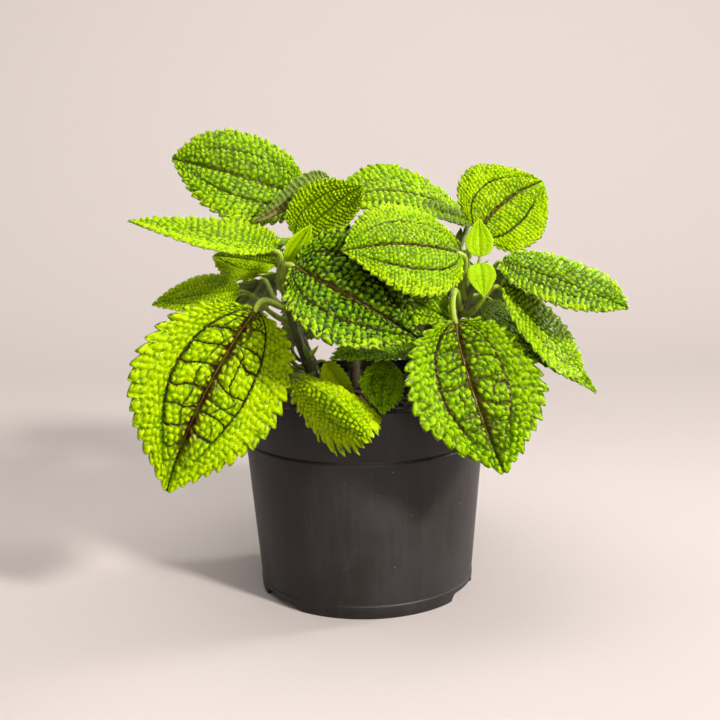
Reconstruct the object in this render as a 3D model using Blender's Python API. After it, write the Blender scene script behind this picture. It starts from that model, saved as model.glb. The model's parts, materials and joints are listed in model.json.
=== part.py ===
"""Friendship plant in a black plastic nursery pot.

The pot is a thin tapered shell with a banded rim and a notched foot. Soil fills it to just below
the rim, seven hairy stems stand in plain holes in the soil, and each large leaf is one piece with
its own stalk. The youngest leaves at a stem's tip are part of that stem.
Sizes are in millimetres in the tables and turned into metres as the meshes are made. The origin is
at the middle of the foot, X runs to the right, Y to the back and Z up.
"""

import math

import bpy
import numpy as np

MM = 0.001

# Pot
POT_HEIGHT = 100.0
RIM_RADIUS = 60.0
BAND_HEIGHT = 23.0
BAND_STEP = 1.2
BODY_TOP_RADIUS = 58.0
BASE_RADIUS = 51.5
WALL = 1.4
FOOT_LINE = 6.0
FOOT_STEP = 0.4
FOOT_WIDTH = 2.2
FLOOR_HEIGHT = 5.0
FLOOR_THICKNESS = 1.6
PAD_RADIUS = 20.0
PAD_SLOPE = 3.0
DRAIN_HOLES = 8
DRAIN_RADIUS = 4.0
DRAIN_CIRCLE = 36.0
DRAIN_TURN = 0.3
FOOT_NOTCHES = 3
NOTCH_WIDTH = 26.0
NOTCH_HEIGHT = 3.4
FIRST_NOTCH_DEGREES = -144.0
EDGE = 0.6
POT_SEGMENTS = 32

# Soil
SOIL_LEVEL = 93.0
SOIL_MOUND = 4.0
SOIL_RINGS = 4
SOIL_SPOKES = 24
STEM_SEAT = 78.0
GAP = 0.3

# Stems and leaves
STEM_FOOT_RADIUS = 2.8
STEM_TIP_RADIUS = 1.8
STEM_SIDES = 6
STALK_SIDES = 4
STALK_LEAST = 0.5
STALK_SHARE = 0.014
STALK_DROP = 0.6
BLADE_THICKNESS = 0.8
BUD_THICKNESS = 1.0
BUD_TEETH = 3
BUD_TOOTH = 0.7
ARCH_POWER = 1.3
WIDEST = 0.4
TIP_POWER = 1.45
LOBE = 0.03
VEIN_SLANT = 1.25
TOOTH_PLACE = 0.66
TOOTH_LEAN = 0.4
TOOTH_SHARE = 0.035
TOOTH_LEAST = 0.3
# How far out the rows of points stand in each half, for leaves of up to so many teeth
COLUMNS = ((6, (1.0,)), (11, (0.42, 1.0)), (99, (0.3, 0.62, 1.0)))
QUILT_SHARES = (0, 0.3, 0.6, 0.85, 1)
QUILT_HEIGHTS = (-0.6, 0.55, -0.35, 0.3, 0)
QUILT_WIDTH = 50.0
PUCKER = 0.35
MIDRIB_SAMPLES = 48
MARGIN_SAMPLES = 240


def material(name, colour, roughness):
    """A plain Principled material for one node."""
    made = bpy.data.materials.new(name)
    made.use_nodes = True
    shader = made.node_tree.nodes["Principled BSDF"]
    shader.inputs["Base Color"].default_value = (*colour, 1)
    shader.inputs["Roughness"].default_value = roughness
    shader.inputs["Metallic"].default_value = 0
    return made


def mesh_object(name, points, faces, colour=None, roughness=0.5):
    """An object from points in millimetres and a list of faces."""
    mesh = bpy.data.meshes.new(name)
    mesh.from_pydata((np.asarray(points) * MM).tolist(), [], faces)
    mesh.validate()
    made = bpy.data.objects.new(name, mesh)
    bpy.context.collection.objects.link(made)
    if colour:
        mesh.materials.append(material(name, colour, roughness))
    return made


def combine(target, tools, operation):
    """Joins the tools to the target, or cuts them from it, and removes the tools."""
    group = bpy.data.collections.new(target.name + "_tools")
    bpy.context.scene.collection.children.link(group)
    for tool in tools:
        group.objects.link(tool)
    boolean = target.modifiers.new("combine", "BOOLEAN")
    boolean.operation = operation
    boolean.operand_type = "COLLECTION"
    boolean.collection = group
    for solver in ("EXACT", "MANIFOLD"):
        boolean.solver = solver
        graph = bpy.context.evaluated_depsgraph_get()
        result = bpy.data.meshes.new_from_object(target.evaluated_get(graph))
        if result.polygons:
            break
    target.modifiers.clear()
    result.name = target.name
    target.data = result
    for tool in tools:
        bpy.data.objects.remove(tool)
    bpy.data.collections.remove(group)


def unit(vector):
    return vector / np.linalg.norm(vector)


def turned(profile, segments):
    """Points and faces of a profile of (radius, height) turned about Z, with both ends on the axis."""
    angles = np.arange(segments) * 2 * np.pi / segments
    rings = profile[1:-1]
    points = [(0, 0, profile[0][1]), (0, 0, profile[-1][1])]
    points += [(r * np.cos(a), r * np.sin(a), z) for a in angles for r, z in rings]
    count = len(rings)
    faces = []
    for turn in range(segments):
        near, far = 2 + turn * count, 2 + (turn + 1) % segments * count
        faces.append((0, far, near))
        for k in range(count - 1):
            faces.append((near + k, far + k, far + k + 1, near + k + 1))
        faces.append((1, near + count - 1, far + count - 1))
    return points, faces


def tube(path, radii, sides):
    """Points and faces of a closed tube along a path, with its rings carried along untwisted."""
    path = np.asarray(path, float)
    tangents = np.gradient(path, axis=0)
    tangents /= np.linalg.norm(tangents, axis=1)[:, None]
    side = unit(np.cross(tangents[0], (0.31, 0.17, 0.93)))
    points = []
    for centre, tangent, radius in zip(path, tangents, radii):
        side = unit(side - tangent * side.dot(tangent))
        other = np.cross(tangent, side)
        for k in range(sides):
            angle = 2 * np.pi * k / sides
            points.append(centre + radius * (np.cos(angle) * side + np.sin(angle) * other))
    faces = []
    for ring in range(len(path) - 1):
        for k in range(sides):
            n = (k + 1) % sides
            a, b = ring * sides, (ring + 1) * sides
            faces.append((a + k, a + n, b + n, b + k))
    last = (len(path) - 1) * sides
    faces.append(tuple(range(sides - 1, -1, -1)))
    faces.append(tuple(range(last, last + sides)))
    return points, faces


def bezier(start, lead, trail, end, count):
    """Points along a cubic curve from start to end."""
    t = np.linspace(0, 1, count)[:, None]
    return (
        (1 - t) ** 3 * np.asarray(start)
        + 3 * (1 - t) ** 2 * t * np.asarray(lead)
        + 3 * (1 - t) * t**2 * np.asarray(trail)
        + t**3 * np.asarray(end)
    )


class Blade:
    """The bent sheet that a leaf's plan is laid on.

    The midrib runs from base to tip and turns through `arch` degrees, more towards the tip. Each
    half leaves it at `fold` degrees above level and curls by `cup` degrees more out to the margin.
    `face` is roughly where the upper side looks, and `sweep` bows the midrib sideways in the sheet.
    The plan is widest at the share `widest` of its length, and narrows from there by the power `point`.
    """

    def __init__(
        self, base, tip, face, width, arch=20, fold=6, cup=-12, sweep=0, widest=WIDEST, point=TIP_POWER
    ):
        self.base, self.width, self.sweep = np.array(base, float), width, sweep
        self.widest, self.point = widest, point
        self.fold, self.cup = math.radians(fold), math.radians(cup)
        chord = np.array(tip, float) - self.base
        along = unit(chord)
        up = unit(np.array(face, float) - along * along.dot(face))
        self.across = np.cross(up, along)
        self.s = np.linspace(0, 1, MIDRIB_SAMPLES)
        angle = -math.radians(arch) * self.s**ARCH_POWER
        heading = np.stack([np.cos(angle), np.sin(angle)], 1)
        steps = np.diff(self.s)[:, None] * (heading[:-1] + heading[1:]) / 2
        flat = np.vstack([(0, 0), np.cumsum(steps, axis=0)])
        reach = np.hypot(*flat[-1])
        tilt = -math.atan2(flat[-1][1], flat[-1][0])
        turn = np.array([(math.cos(tilt), -math.sin(tilt)), (math.sin(tilt), math.cos(tilt))])
        flat = flat @ turn.T * np.linalg.norm(chord) / reach
        self.length = np.linalg.norm(chord) / reach
        self.rib = self.base + flat[:, :1] * along + flat[:, 1:] * up
        self.tangent = np.cos(angle + tilt)[:, None] * along + np.sin(angle + tilt)[:, None] * up
        self.normal = np.cross(self.tangent[0], self.across)

    def at(self, x, y, lift):
        """World points of plan points, x along and y across in millimetres, raised by lift."""
        s = np.clip(x / self.length, 0, 1)
        rib = np.stack([np.interp(s, self.s, self.rib[:, k]) for k in range(3)], 1)
        beyond = x - s * self.length
        tangent = np.stack([np.interp(s, self.s, self.tangent[:, k]) for k in range(3)], 1)
        tangent /= np.linalg.norm(tangent, axis=1)[:, None]
        rib = rib + tangent * beyond[:, None]
        up = np.cross(tangent, self.across)
        curl = self.cup / (self.width / 2)
        slope = self.fold + curl * np.abs(y)
        out = (np.sin(slope) - math.sin(self.fold)) / curl * np.sign(y)
        high = (math.cos(self.fold) - np.cos(slope)) / curl
        normal = up * np.cos(slope)[:, None] - self.across * (np.sin(slope) * np.sign(y))[:, None]
        sideways = out + 4 * self.sweep * s * (1 - s)
        return rib + self.across * sideways[:, None] + up * high[:, None] + normal * lift[:, None]


def margin(blade):
    """The plan margin of one half, evenly spaced.

    Up to the widest place it is a quarter of an ellipse, whose root end reaches back past the
    stalk as a small lobe. From there it narrows by a power of the distance to a pointed tip.
    """
    p = np.linspace(0, 1, MARGIN_SAMPLES)
    x = np.sin(np.pi * p / 2) ** 2
    widest = blade.widest
    root = np.clip(1 - x / widest, 0, 1)
    rest = np.clip((x - widest) / (1 - widest), 0, 1)
    y = np.where(x < widest, (1 - root**2) ** 0.5, 1 - rest**blade.point) * blade.width / 2
    x = (x - LOBE * np.sin(np.pi * np.clip(x / widest, 0, 1))) * blade.length
    run = np.concatenate([(0,), np.cumsum(np.hypot(np.diff(x), np.diff(y)))])
    even = np.linspace(0, run[-1], MARGIN_SAMPLES)
    return even / run[-1], np.interp(even, run, x), np.interp(even, run, y)


def toothed_plan(blade, teeth, columns, tooth):
    """Plan points and triangles of one half-leaf on each side of the midrib, with its teeth.

    Each point is (x, y, share), where share runs from 0 on the midrib to 1 on the margin. Rows run
    forward from the midrib to the notches between the teeth.
    """
    q, mx, my = margin(blade)
    length = blade.length
    notch = np.linspace(0, 1, teeth + 1)
    nx, ny = np.interp(notch, q, mx), np.interp(notch, q, my)
    rib = np.clip(nx / length, 0, 1) ** VEIN_SLANT * length
    rib[0], rib[-1] = 0, length
    points = [(x, 0.0, 0.0) for x in rib]
    triangles = []
    border = {}
    for side in (1, -1):
        index = {(k, 0): k for k in range(teeth + 1)}
        for k in range(1, teeth):
            for c, share in enumerate(columns, 1):
                index[k, c] = len(points)
                points.append((rib[k] + (nx[k] - rib[k]) * share, side * ny[k] * share, share))
        for c in range(1, len(columns) + 1):
            index[0, c], index[teeth, c] = 0, teeth
        edge = [index[0, len(columns)]]
        for k in range(teeth):
            for c in range(len(columns)):
                a, b = index[k, c], index[k, c + 1]
                d, e = index[k + 1, c], index[k + 1, c + 1]
                cells = ((a, d, e), (a, e, b)) if (k + c) % 2 else ((a, d, b), (b, d, e))
                for cell in cells:
                    if len(set(cell)) == 3:
                        triangles.append(cell if side > 0 else cell[::-1])
            at = (k + TOOTH_PLACE) / teeth
            tx, ty = np.interp(at, q, mx), np.interp(at, q, my)
            ahead, before = min(at + 0.01, 1), at - 0.01
            dx = np.interp(ahead, q, mx) - np.interp(before, q, mx)
            dy = np.interp(ahead, q, my) - np.interp(before, q, my)
            run = math.hypot(dx, dy)
            size = tooth * min(1, 0.45 + 0.8 * math.sin(math.pi * at))
            tip = len(points)
            lean = TOOTH_LEAN * size
            tx += (lean * dx - size * dy) / run
            ty += (lean * dy + size * dx) / run
            points.append((tx, side * ty, 1.0))
            a, b = index[k, len(columns)], index[k + 1, len(columns)]
            triangles.append((a, b, tip) if side > 0 else (b, a, tip))
            edge += [tip, b]
        border[side] = edge
    return np.array(points), triangles, border


def blade_mesh(blade, teeth, columns, tooth, thickness=BLADE_THICKNESS):
    """Points and faces of a toothed blade whose two faces are split alike.

    The quilt rises between the midrib and the lateral veins and again outside them, and the pucker
    lifts every other row of cells.
    """
    plan, triangles, border = toothed_plan(blade, teeth, columns, tooth)
    x, y, share = plan.T
    rows = np.clip(x / blade.length, 0, 1) * teeth
    quilt = np.interp(share, QUILT_SHARES, QUILT_HEIGHTS) * blade.width / QUILT_WIDTH
    pucker = PUCKER * np.cos(np.pi * np.round(rows)) * np.sin(np.pi * share) * (share < 1)
    fade = np.clip(3 * np.sin(np.pi * np.clip(x / blade.length, 0, 1)), 0, 1)
    relief = (quilt + pucker) * fade
    upper = blade.at(x, y, relief + thickness / 2)
    lower = blade.at(x, y, relief - thickness / 2)
    count = len(plan)
    faces = [tuple(t) for t in triangles] + [tuple(count + i for i in t[::-1]) for t in triangles]
    ring = border[1] + border[-1][-2:0:-1]
    for a, b in zip(ring, ring[1:] + ring[:1]):
        faces += [(a, b, count + b), (a, count + b, count + a)]
    return np.vstack([upper, lower]), faces


# Each stem: its foot in the soil, the point it leans towards, its tip, and the small leaves at the
# tip as (compass degrees from the front, degrees above level, length, width).
STEMS = {
    "stem_left": dict(
        foot=(-22, -18), lean=(-34, -24, 128), tip=(-35, -31, 158),
        buds=((-52, 12, 13, 8), (100, 60, 7, 4), (190, 50, 7, 4))),
    "stem_right": dict(
        foot=(20, -14), lean=(44, -16, 122), tip=(54, -21, 158), buds=((90, 50, 6, 3), (-90, 50, 6, 3))),
    "stem_middle": dict(
        foot=(-4, 6), lean=(-10, 6, 140), tip=(-17, 11, 182), buds=((0, 60, 7, 4), (180, 50, 9, 5))),
    "stem_back_right": dict(
        foot=(24, 18), lean=(40, 30, 128), tip=(50, 44, 162), buds=((165, 60, 9, 5), (-80, 60, 8, 5))),
    "stem_back_left": dict(
        foot=(-24, 20), lean=(-38, 40, 120), tip=(-42, 56, 150), buds=((200, 55, 11, 7), (20, 60, 10, 6))),
    "stem_back": dict(
        foot=(2, 34), lean=(4, 60, 122), tip=(6, 70, 154), buds=((150, 55, 12, 7), (-40, 60, 10, 6))),
    "stem_front": dict(
        foot=(-14, -28), lean=(-22, -30, 106), tip=(-25, -33, 120), buds=((-20, 60, 8, 4), (120, 50, 7, 4))),
}

# Each leaf: the stem that carries it and how far up, a point that its stalk goes by where it has to
# bend round another leaf, then where its blade begins and ends, where its upper side looks, and its
# width.
LEAVES = {
    "leaf_left_large_front": dict(
        stem="stem_left", up=0.84, base=(-46, -61, 147), tip=(-86, -75, 71), face=(0.44, -0.89, 0.12),
        width=68, arch=12, fold=-3.5, cup=7, sweep=-4.4, widest=0.49, teeth=12),
    "leaf_left_centre": dict(
        stem="stem_left", up=0.88, base=(-29, -59, 166), tip=(24, -60, 133), face=(0.18, -0.69, 0.71),
        width=63, arch=14, fold=9, cup=2, widest=0.42, teeth=12),
    "leaf_left_outer": dict(
        stem="stem_left", up=0.93, by=(-40, -40, 160), base=(-38, -43, 171), tip=(-104, -33, 184),
        face=(0.11, -0.17, 0.98), width=48, arch=-5.5, fold=5.5, cup=-3, sweep=-3.5, widest=0.34,
        teeth=10),
    "leaf_left_small_facing": dict(
        stem="stem_left", up=0.9, base=(-29, -16, 173), tip=(1, -22, 197), face=(0.64, -0.77, -0.03),
        width=32, arch=-20, fold=-5, cup=-22, widest=0.43, point=2.2, teeth=8),
    "leaf_left_under": dict(
        stem="stem_left", up=0.8, base=(-40, -8, 160), tip=(-72, 14, 162), face=(0, -0.6, 0.8),
        width=30, arch=10, teeth=8),
    "leaf_left_low": dict(
        stem="stem_left", up=0.72, base=(-57, -20, 150), tip=(-97, -22, 144), face=(-0.1, -0.5, 0.85),
        width=28, arch=14, teeth=8),
    "leaf_left_young": dict(
        stem="stem_left", up=0.95, base=(-33, -36, 165), tip=(-22, -33, 181), face=(0.3, -1, 0.2),
        width=13, arch=-10, fold=35, cup=10, teeth=6),
    "leaf_middle_top_left": dict(
        stem="stem_middle", up=0.93, base=(-29, 20, 190), tip=(-89, 10, 209), face=(-0.13, -0.65, 0.75),
        width=56, arch=36, fold=11.5, cup=-24, sweep=3.3, widest=0.5, point=2.2, teeth=10),
    "leaf_middle_folded": dict(
        stem="stem_middle", up=0.98, base=(-14, -2, 198), tip=(-49, -18, 181), face=(-0.45, 0.42, 0.78),
        width=26, arch=-16, fold=20, cup=10, teeth=8),
    "leaf_right_centre": dict(
        stem="stem_right", up=0.86, by=(45, -29, 159), base=(43, -40, 168), tip=(-8, -62, 172),
        face=(0.08, -0.72, 0.69), width=51, arch=26, fold=3, cup=-26, sweep=-2.2, widest=0.44,
        point=1.95, teeth=12),
    "leaf_right_top": dict(
        stem="stem_right", up=0.9, base=(55, -5, 173), tip=(88, 15, 195), face=(0.13, -0.85, 0.51),
        width=48, arch=19, fold=1.5, cup=-20, sweep=3.3, widest=0.48, point=1.75, teeth=10),
    "leaf_right_outer": dict(
        stem="stem_right", up=0.86, base=(65, -20, 161), tip=(119, -40, 141), face=(0.26, -0.38, 0.89),
        width=45, arch=13, fold=5.5, cup=-12.5, sweep=-0.6, widest=0.52, point=2.3, teeth=10),
    "leaf_right_hanging": dict(
        stem="stem_right", up=0.78, base=(63, -34, 151), tip=(101, -28, 109), face=(0.85, -0.34, 0.41),
        width=43, arch=17, fold=10, cup=-17, sweep=-4.9, widest=0.52, point=2.3, teeth=10),
    "leaf_right_under": dict(
        stem="stem_right", up=0.6, base=(56, -14, 139), tip=(110, -18, 97), face=(0.5, -0.4, 0.75),
        width=34, arch=20, teeth=10),
    "leaf_right_large_front": dict(
        stem="stem_right", up=0.8, by=(42, -42, 160), base=(41, -54, 139), tip=(59, -83, 79),
        face=(0.45, -0.86, 0.23), width=65, arch=8, fold=2, cup=5, sweep=-2.5, widest=0.52, point=1.5,
        teeth=12),
    "leaf_right_young_up": dict(
        stem="stem_right", up=0.95, base=(55, -16, 163), tip=(55, -11, 180), face=(0, -1, 0.3),
        width=13, arch=-14, fold=12, teeth=6),
    "leaf_right_young_down": dict(
        stem="stem_right", up=0.95, base=(54, -27, 161), tip=(55, -37, 147), face=(0, -0.8, 0.6),
        width=13, arch=10, fold=12, teeth=6),
    "leaf_back_right_top": dict(
        stem="stem_back_right", up=0.9, base=(54, 47, 176), tip=(-15, 20, 186),
        face=(-0.05, -0.44, 0.9), width=54, arch=54, fold=-10, cup=21, sweep=-2.9, widest=0.52,
        point=1.6, teeth=10),
    "leaf_back_right_inner": dict(
        stem="stem_back_right", up=0.8, base=(47, -4, 165), tip=(15, -9, 170), face=(0, -0.35, 0.93),
        width=34, arch=20, teeth=8),
    "leaf_middle_right": dict(
        stem="stem_middle", up=0.6, base=(17, -34, 148), tip=(41, -50, 138), face=(0.2, -0.7, 0.65),
        width=26, arch=16, teeth=8),
    "leaf_front_under": dict(
        stem="stem_right", up=0.3, base=(22, -30, 126), tip=(-14, -48, 122), face=(0, -0.3, 0.95),
        width=26, arch=16, teeth=8),
    "leaf_front_over_rim": dict(
        stem="stem_front", up=0.8, base=(-30, -53, 116), tip=(2, -87, 97), face=(-0.05, -0.83, 0.55),
        width=40, arch=17, fold=-51, cup=-13, sweep=2.1, widest=0.52, point=1.75, teeth=8),
    "leaf_front_narrow": dict(
        stem="stem_front", up=0.9, base=(-17, -31, 117), tip=(-3, -36, 98), face=(-0.3, -0.9, 0.3),
        width=13, arch=8, fold=45, teeth=8),
    "leaf_front_dark": dict(
        stem="stem_right", up=0.15, by=(16, -28, 112), base=(11, -37, 118), tip=(8, -65, 101),
        face=(0.17, -0.76, 0.63), width=20, arch=22, fold=-8, cup=-20, sweep=-1.3, widest=0.45,
        point=1.65, teeth=8),
    "leaf_back_left_large": dict(
        stem="stem_back_left", up=0.8, base=(-54, 68, 142), tip=(-88, 92, 92), face=(-0.6, 0.5, 0.6),
        width=52, arch=16, teeth=10),
    "leaf_back_left_side": dict(
        stem="stem_back_left", up=0.66, base=(-62, 40, 138), tip=(-96, 34, 96), face=(-0.8, 0.1, 0.6),
        width=42, arch=18, teeth=10),
    "leaf_back_left_upper": dict(
        stem="stem_back_left", up=0.95, base=(-44, 68, 160), tip=(-52, 104, 158), face=(0, 0.2, 0.95),
        width=34, arch=22, teeth=8),
    "leaf_back_left_inner": dict(
        stem="stem_back_left", up=0.93, base=(-36, 44, 158), tip=(-24, 14, 164), face=(-0.1, -0.2, 0.95),
        width=26, arch=14, teeth=8),
    "leaf_back_large": dict(
        stem="stem_back", up=0.8, base=(14, 86, 142), tip=(30, 112, 82), face=(0.3, 0.85, 0.3),
        width=58, arch=14, teeth=12),
    "leaf_back_side": dict(
        stem="stem_back", up=0.72, base=(-11, 80, 138), tip=(-42, 98, 98), face=(-0.3, 0.75, 0.5),
        width=42, arch=18, teeth=10),
    "leaf_back_upper": dict(
        stem="stem_back", up=0.95, base=(12, 82, 162), tip=(30, 112, 150), face=(0.2, 0.4, 0.9),
        width=38, arch=24, teeth=8),
    "leaf_back_inner": dict(
        stem="stem_back", up=0.93, base=(0, 58, 162), tip=(-14, 28, 168), face=(0, -0.2, 0.95),
        width=28, arch=14, teeth=8),
    "leaf_back_right_large": dict(
        stem="stem_back_right", up=0.8, base=(60, 60, 148), tip=(80, 92, 96), face=(0.5, 0.7, 0.4),
        width=52, arch=16, teeth=10),
    "leaf_back_right_side": dict(
        stem="stem_back_right", up=0.7, base=(62, 32, 136), tip=(88, 30, 92), face=(0.85, 0.1, 0.5),
        width=40, arch=18, teeth=10),
    "leaf_back_right_upper": dict(
        stem="stem_back_right", up=0.97, base=(56, 56, 172), tip=(66, 86, 164), face=(0.2, 0.2, 0.95),
        width=32, arch=20, teeth=8),
    "leaf_low_left": dict(
        stem="stem_left", up=0.2, base=(-30, -28, 113), tip=(-45, -35, 103), face=(-0.2, -0.6, 0.8),
        width=20, arch=16, teeth=7),
    "leaf_low_left_side": dict(
        stem="stem_left", up=0.3, base=(-46, -8, 122), tip=(-72, -2, 106), face=(-0.5, -0.2, 0.85),
        width=28, arch=18, teeth=7),
    "leaf_low_back_left": dict(
        stem="stem_back_left", up=0.25, base=(-40, 30, 118), tip=(-68, 22, 108), face=(-0.3, 0, 0.95),
        width=26, arch=18, teeth=7),
    "leaf_low_right_side": dict(
        stem="stem_back_right", up=0.2, base=(46, 12, 118), tip=(74, 2, 106), face=(0.4, -0.1, 0.9),
        width=28, arch=18, teeth=7),
    "leaf_low_middle": dict(
        stem="stem_middle", up=0.4, base=(8, 14, 134), tip=(34, 12, 128), face=(0.1, -0.3, 0.95),
        width=26, arch=16, teeth=7),
    "leaf_low_back": dict(
        stem="stem_back", up=0.2, base=(14, 52, 116), tip=(38, 68, 104), face=(0.3, 0.4, 0.85),
        width=28, arch=18, teeth=7),
}


def clear_scene():
    for old in list(bpy.data.objects):
        bpy.data.objects.remove(old)


def smooth(made, degrees):
    made.data.shade_smooth()
    made.data.set_sharp_from_angle(angle=math.radians(degrees))


def body_radius(height):
    """The outer radius of the tapered body at a height."""
    share = height / (POT_HEIGHT - BAND_HEIGHT)
    return BASE_RADIUS + (BODY_TOP_RADIUS - BASE_RADIUS) * share


def band_radius(height):
    """The outer radius of the rim band, which flares a little less than the body."""
    share = (height - POT_HEIGHT + BAND_HEIGHT) / BAND_HEIGHT
    foot = BODY_TOP_RADIUS + BAND_STEP
    return foot + (RIM_RADIUS - foot) * share


def cylinder(name, centre, radius, low, high, sides):
    angles = np.arange(sides) * 2 * np.pi / sides
    ring = [(centre[0] + radius * np.cos(a), centre[1] + radius * np.sin(a)) for a in angles]
    points = [(x, y, low) for x, y in ring] + [(x, y, high) for x, y in ring]
    faces = [tuple(range(sides - 1, -1, -1)), tuple(range(sides, 2 * sides))]
    for k in range(sides):
        n = (k + 1) % sides
        faces.append((k, n, sides + n, sides + k))
    return mesh_object(name, points, faces)


def build_pot():
    """The turned shell, with its drain holes and the notches in its foot cut through.

    The floor is raised between the foot ring and a round pad in the middle, which is level with the
    foot.
    """
    band = POT_HEIGHT - BAND_HEIGHT
    floor = FLOOR_HEIGHT + FLOOR_THICKNESS
    profile = [
        (0, 0),
        (PAD_RADIUS, 0),
        (PAD_RADIUS + PAD_SLOPE, FLOOR_HEIGHT),
        (BASE_RADIUS - FOOT_WIDTH, FLOOR_HEIGHT),
        (BASE_RADIUS - FOOT_WIDTH, 0),
        (BASE_RADIUS + FOOT_STEP, 0),
        (body_radius(FOOT_LINE) + FOOT_STEP, FOOT_LINE),
        (body_radius(FOOT_LINE + EDGE), FOOT_LINE + EDGE),
        (body_radius(band - EDGE), band - EDGE),
        (BODY_TOP_RADIUS + BAND_STEP, band),
        (RIM_RADIUS, POT_HEIGHT - EDGE),
        (RIM_RADIUS - EDGE, POT_HEIGHT),
        (RIM_RADIUS - WALL, POT_HEIGHT),
        (band_radius(band + EDGE) - WALL, band + EDGE),
        (BODY_TOP_RADIUS - WALL, band - EDGE),
        (body_radius(floor) - WALL, floor),
        (PAD_RADIUS + PAD_SLOPE - FLOOR_THICKNESS, floor),
        (PAD_RADIUS - FLOOR_THICKNESS, FLOOR_THICKNESS),
        (0, FLOOR_THICKNESS),
    ]
    points, faces = turned(profile, POT_SEGMENTS)
    pot = mesh_object("pot", points, faces, (0.014, 0.014, 0.015), 0.5)
    tools = []
    for k in range(DRAIN_HOLES):
        angle = 2 * np.pi * (k + DRAIN_TURN) / DRAIN_HOLES
        centre = (DRAIN_CIRCLE * np.cos(angle), DRAIN_CIRCLE * np.sin(angle))
        tools.append(cylinder(f"drain_{k}", centre, DRAIN_RADIUS, FLOOR_HEIGHT - 2, floor + 2, 8))
    for k in range(FOOT_NOTCHES):
        angle = math.radians(FIRST_NOTCH_DEGREES + 360 * k / FOOT_NOTCHES)
        tools.append(foot_notch(f"notch_{k}", angle))
    combine(pot, tools, "DIFFERENCE")
    smooth(pot, 30)


def foot_notch(name, angle):
    """A low block across the foot ring, which the notch is cut with."""
    out = np.array((math.cos(angle), math.sin(angle)))
    side = np.array((-out[1], out[0])) * NOTCH_WIDTH / 2
    near, far = out * (BASE_RADIUS * 0.7), out * (BASE_RADIUS * 1.2)
    ring = [near - side, far - side, far + side, near + side]
    points = [(*p, -2) for p in ring] + [(*p, NOTCH_HEIGHT) for p in ring]
    faces = [(3, 2, 1, 0), (4, 5, 6, 7)] + [(k, (k + 1) % 4, 4 + (k + 1) % 4, 4 + k) for k in range(4)]
    return mesh_object(name, points, faces)


def soil_height(x, y):
    """The soil's surface: a low mound with lumps of bark."""
    radius = np.hypot(x, y) / RIM_RADIUS
    lumps = 0.9 * np.sin(0.23 * x + 1.0) * np.cos(0.19 * y) + 0.6 * np.sin(0.41 * y + 0.17 * x)
    return SOIL_LEVEL + SOIL_MOUND * np.cos(np.pi * radius / 2) ** 2 + lumps * (1 - radius**4)


def build_soil():
    """The root ball, a gap inside the pot's wall, with a plain hole for each stem."""
    band = POT_HEIGHT - BAND_HEIGHT
    floor = FLOOR_HEIGHT + FLOOR_THICKNESS + GAP
    slack = WALL + GAP
    sides = [
        (band_radius(SOIL_LEVEL) - slack, None),
        (band_radius(band + EDGE + GAP) - slack, band + EDGE + GAP),
        (BODY_TOP_RADIUS - slack - 0.1, band - EDGE),
        (body_radius(floor) - slack, floor),
        (PAD_RADIUS + PAD_SLOPE - FLOOR_THICKNESS - GAP, floor),
        (PAD_RADIUS - FLOOR_THICKNESS - GAP, FLOOR_THICKNESS + GAP),
    ]
    angles = np.arange(SOIL_SPOKES) * 2 * np.pi / SOIL_SPOKES
    rings = [(sides[0][0] * k / SOIL_RINGS, None) for k in range(1, SOIL_RINGS)] + sides
    points = [(0, 0, float(soil_height(0, 0)))]
    for radius, height in rings:
        for a in angles:
            x, y = radius * np.cos(a), radius * np.sin(a)
            points.append((x, y, float(soil_height(x, y)) if height is None else height))
    points.append((0, 0, FLOOR_THICKNESS + GAP))
    faces = []
    last = 1 + (len(rings) - 1) * SOIL_SPOKES
    for k in range(SOIL_SPOKES):
        n = (k + 1) % SOIL_SPOKES
        faces.append((0, 1 + k, 1 + n))
        faces.append((len(points) - 1, last + n, last + k))
        for ring in range(len(rings) - 1):
            a, b = 1 + ring * SOIL_SPOKES, 1 + (ring + 1) * SOIL_SPOKES
            faces += [(a + k, b + k, b + n), (a + k, b + n, a + n)]
    soil = mesh_object("soil", points, faces, (0.035, 0.02, 0.012), 0.95)
    tools = []
    for name, spec in STEMS.items():
        radius = STEM_FOOT_RADIUS + GAP
        tools.append(cylinder(name + "_hole", spec["foot"], radius, STEM_SEAT, POT_HEIGHT + 10, 8))
    combine(soil, tools, "DIFFERENCE")
    smooth(soil, 40)


def stem_path(spec, count=7):
    """Points up a stem: straight up out of its hole, then leaning out to its tip."""
    x, y = spec["foot"]
    low = np.array([(x, y, STEM_SEAT + GAP), (x, y, SOIL_LEVEL + SOIL_MOUND + 3)])
    start = low[1] + (0, 0, 1)
    return np.vstack([low, bezier(start, start + (0, 0, 8), spec["lean"], spec["tip"], count)])


def stem_point(spec, up):
    """The place, direction and radius at a share of the way from the soil to the tip."""
    path = stem_path(spec)[2:]
    t = np.linspace(0, 1, len(path))
    place = np.array([np.interp(up, t, path[:, k]) for k in range(3)])
    before = np.array([np.interp(up - 0.01, t, path[:, k]) for k in range(3)])
    return place, unit(place - before), STEM_FOOT_RADIUS + (STEM_TIP_RADIUS - STEM_FOOT_RADIUS) * up


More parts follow.
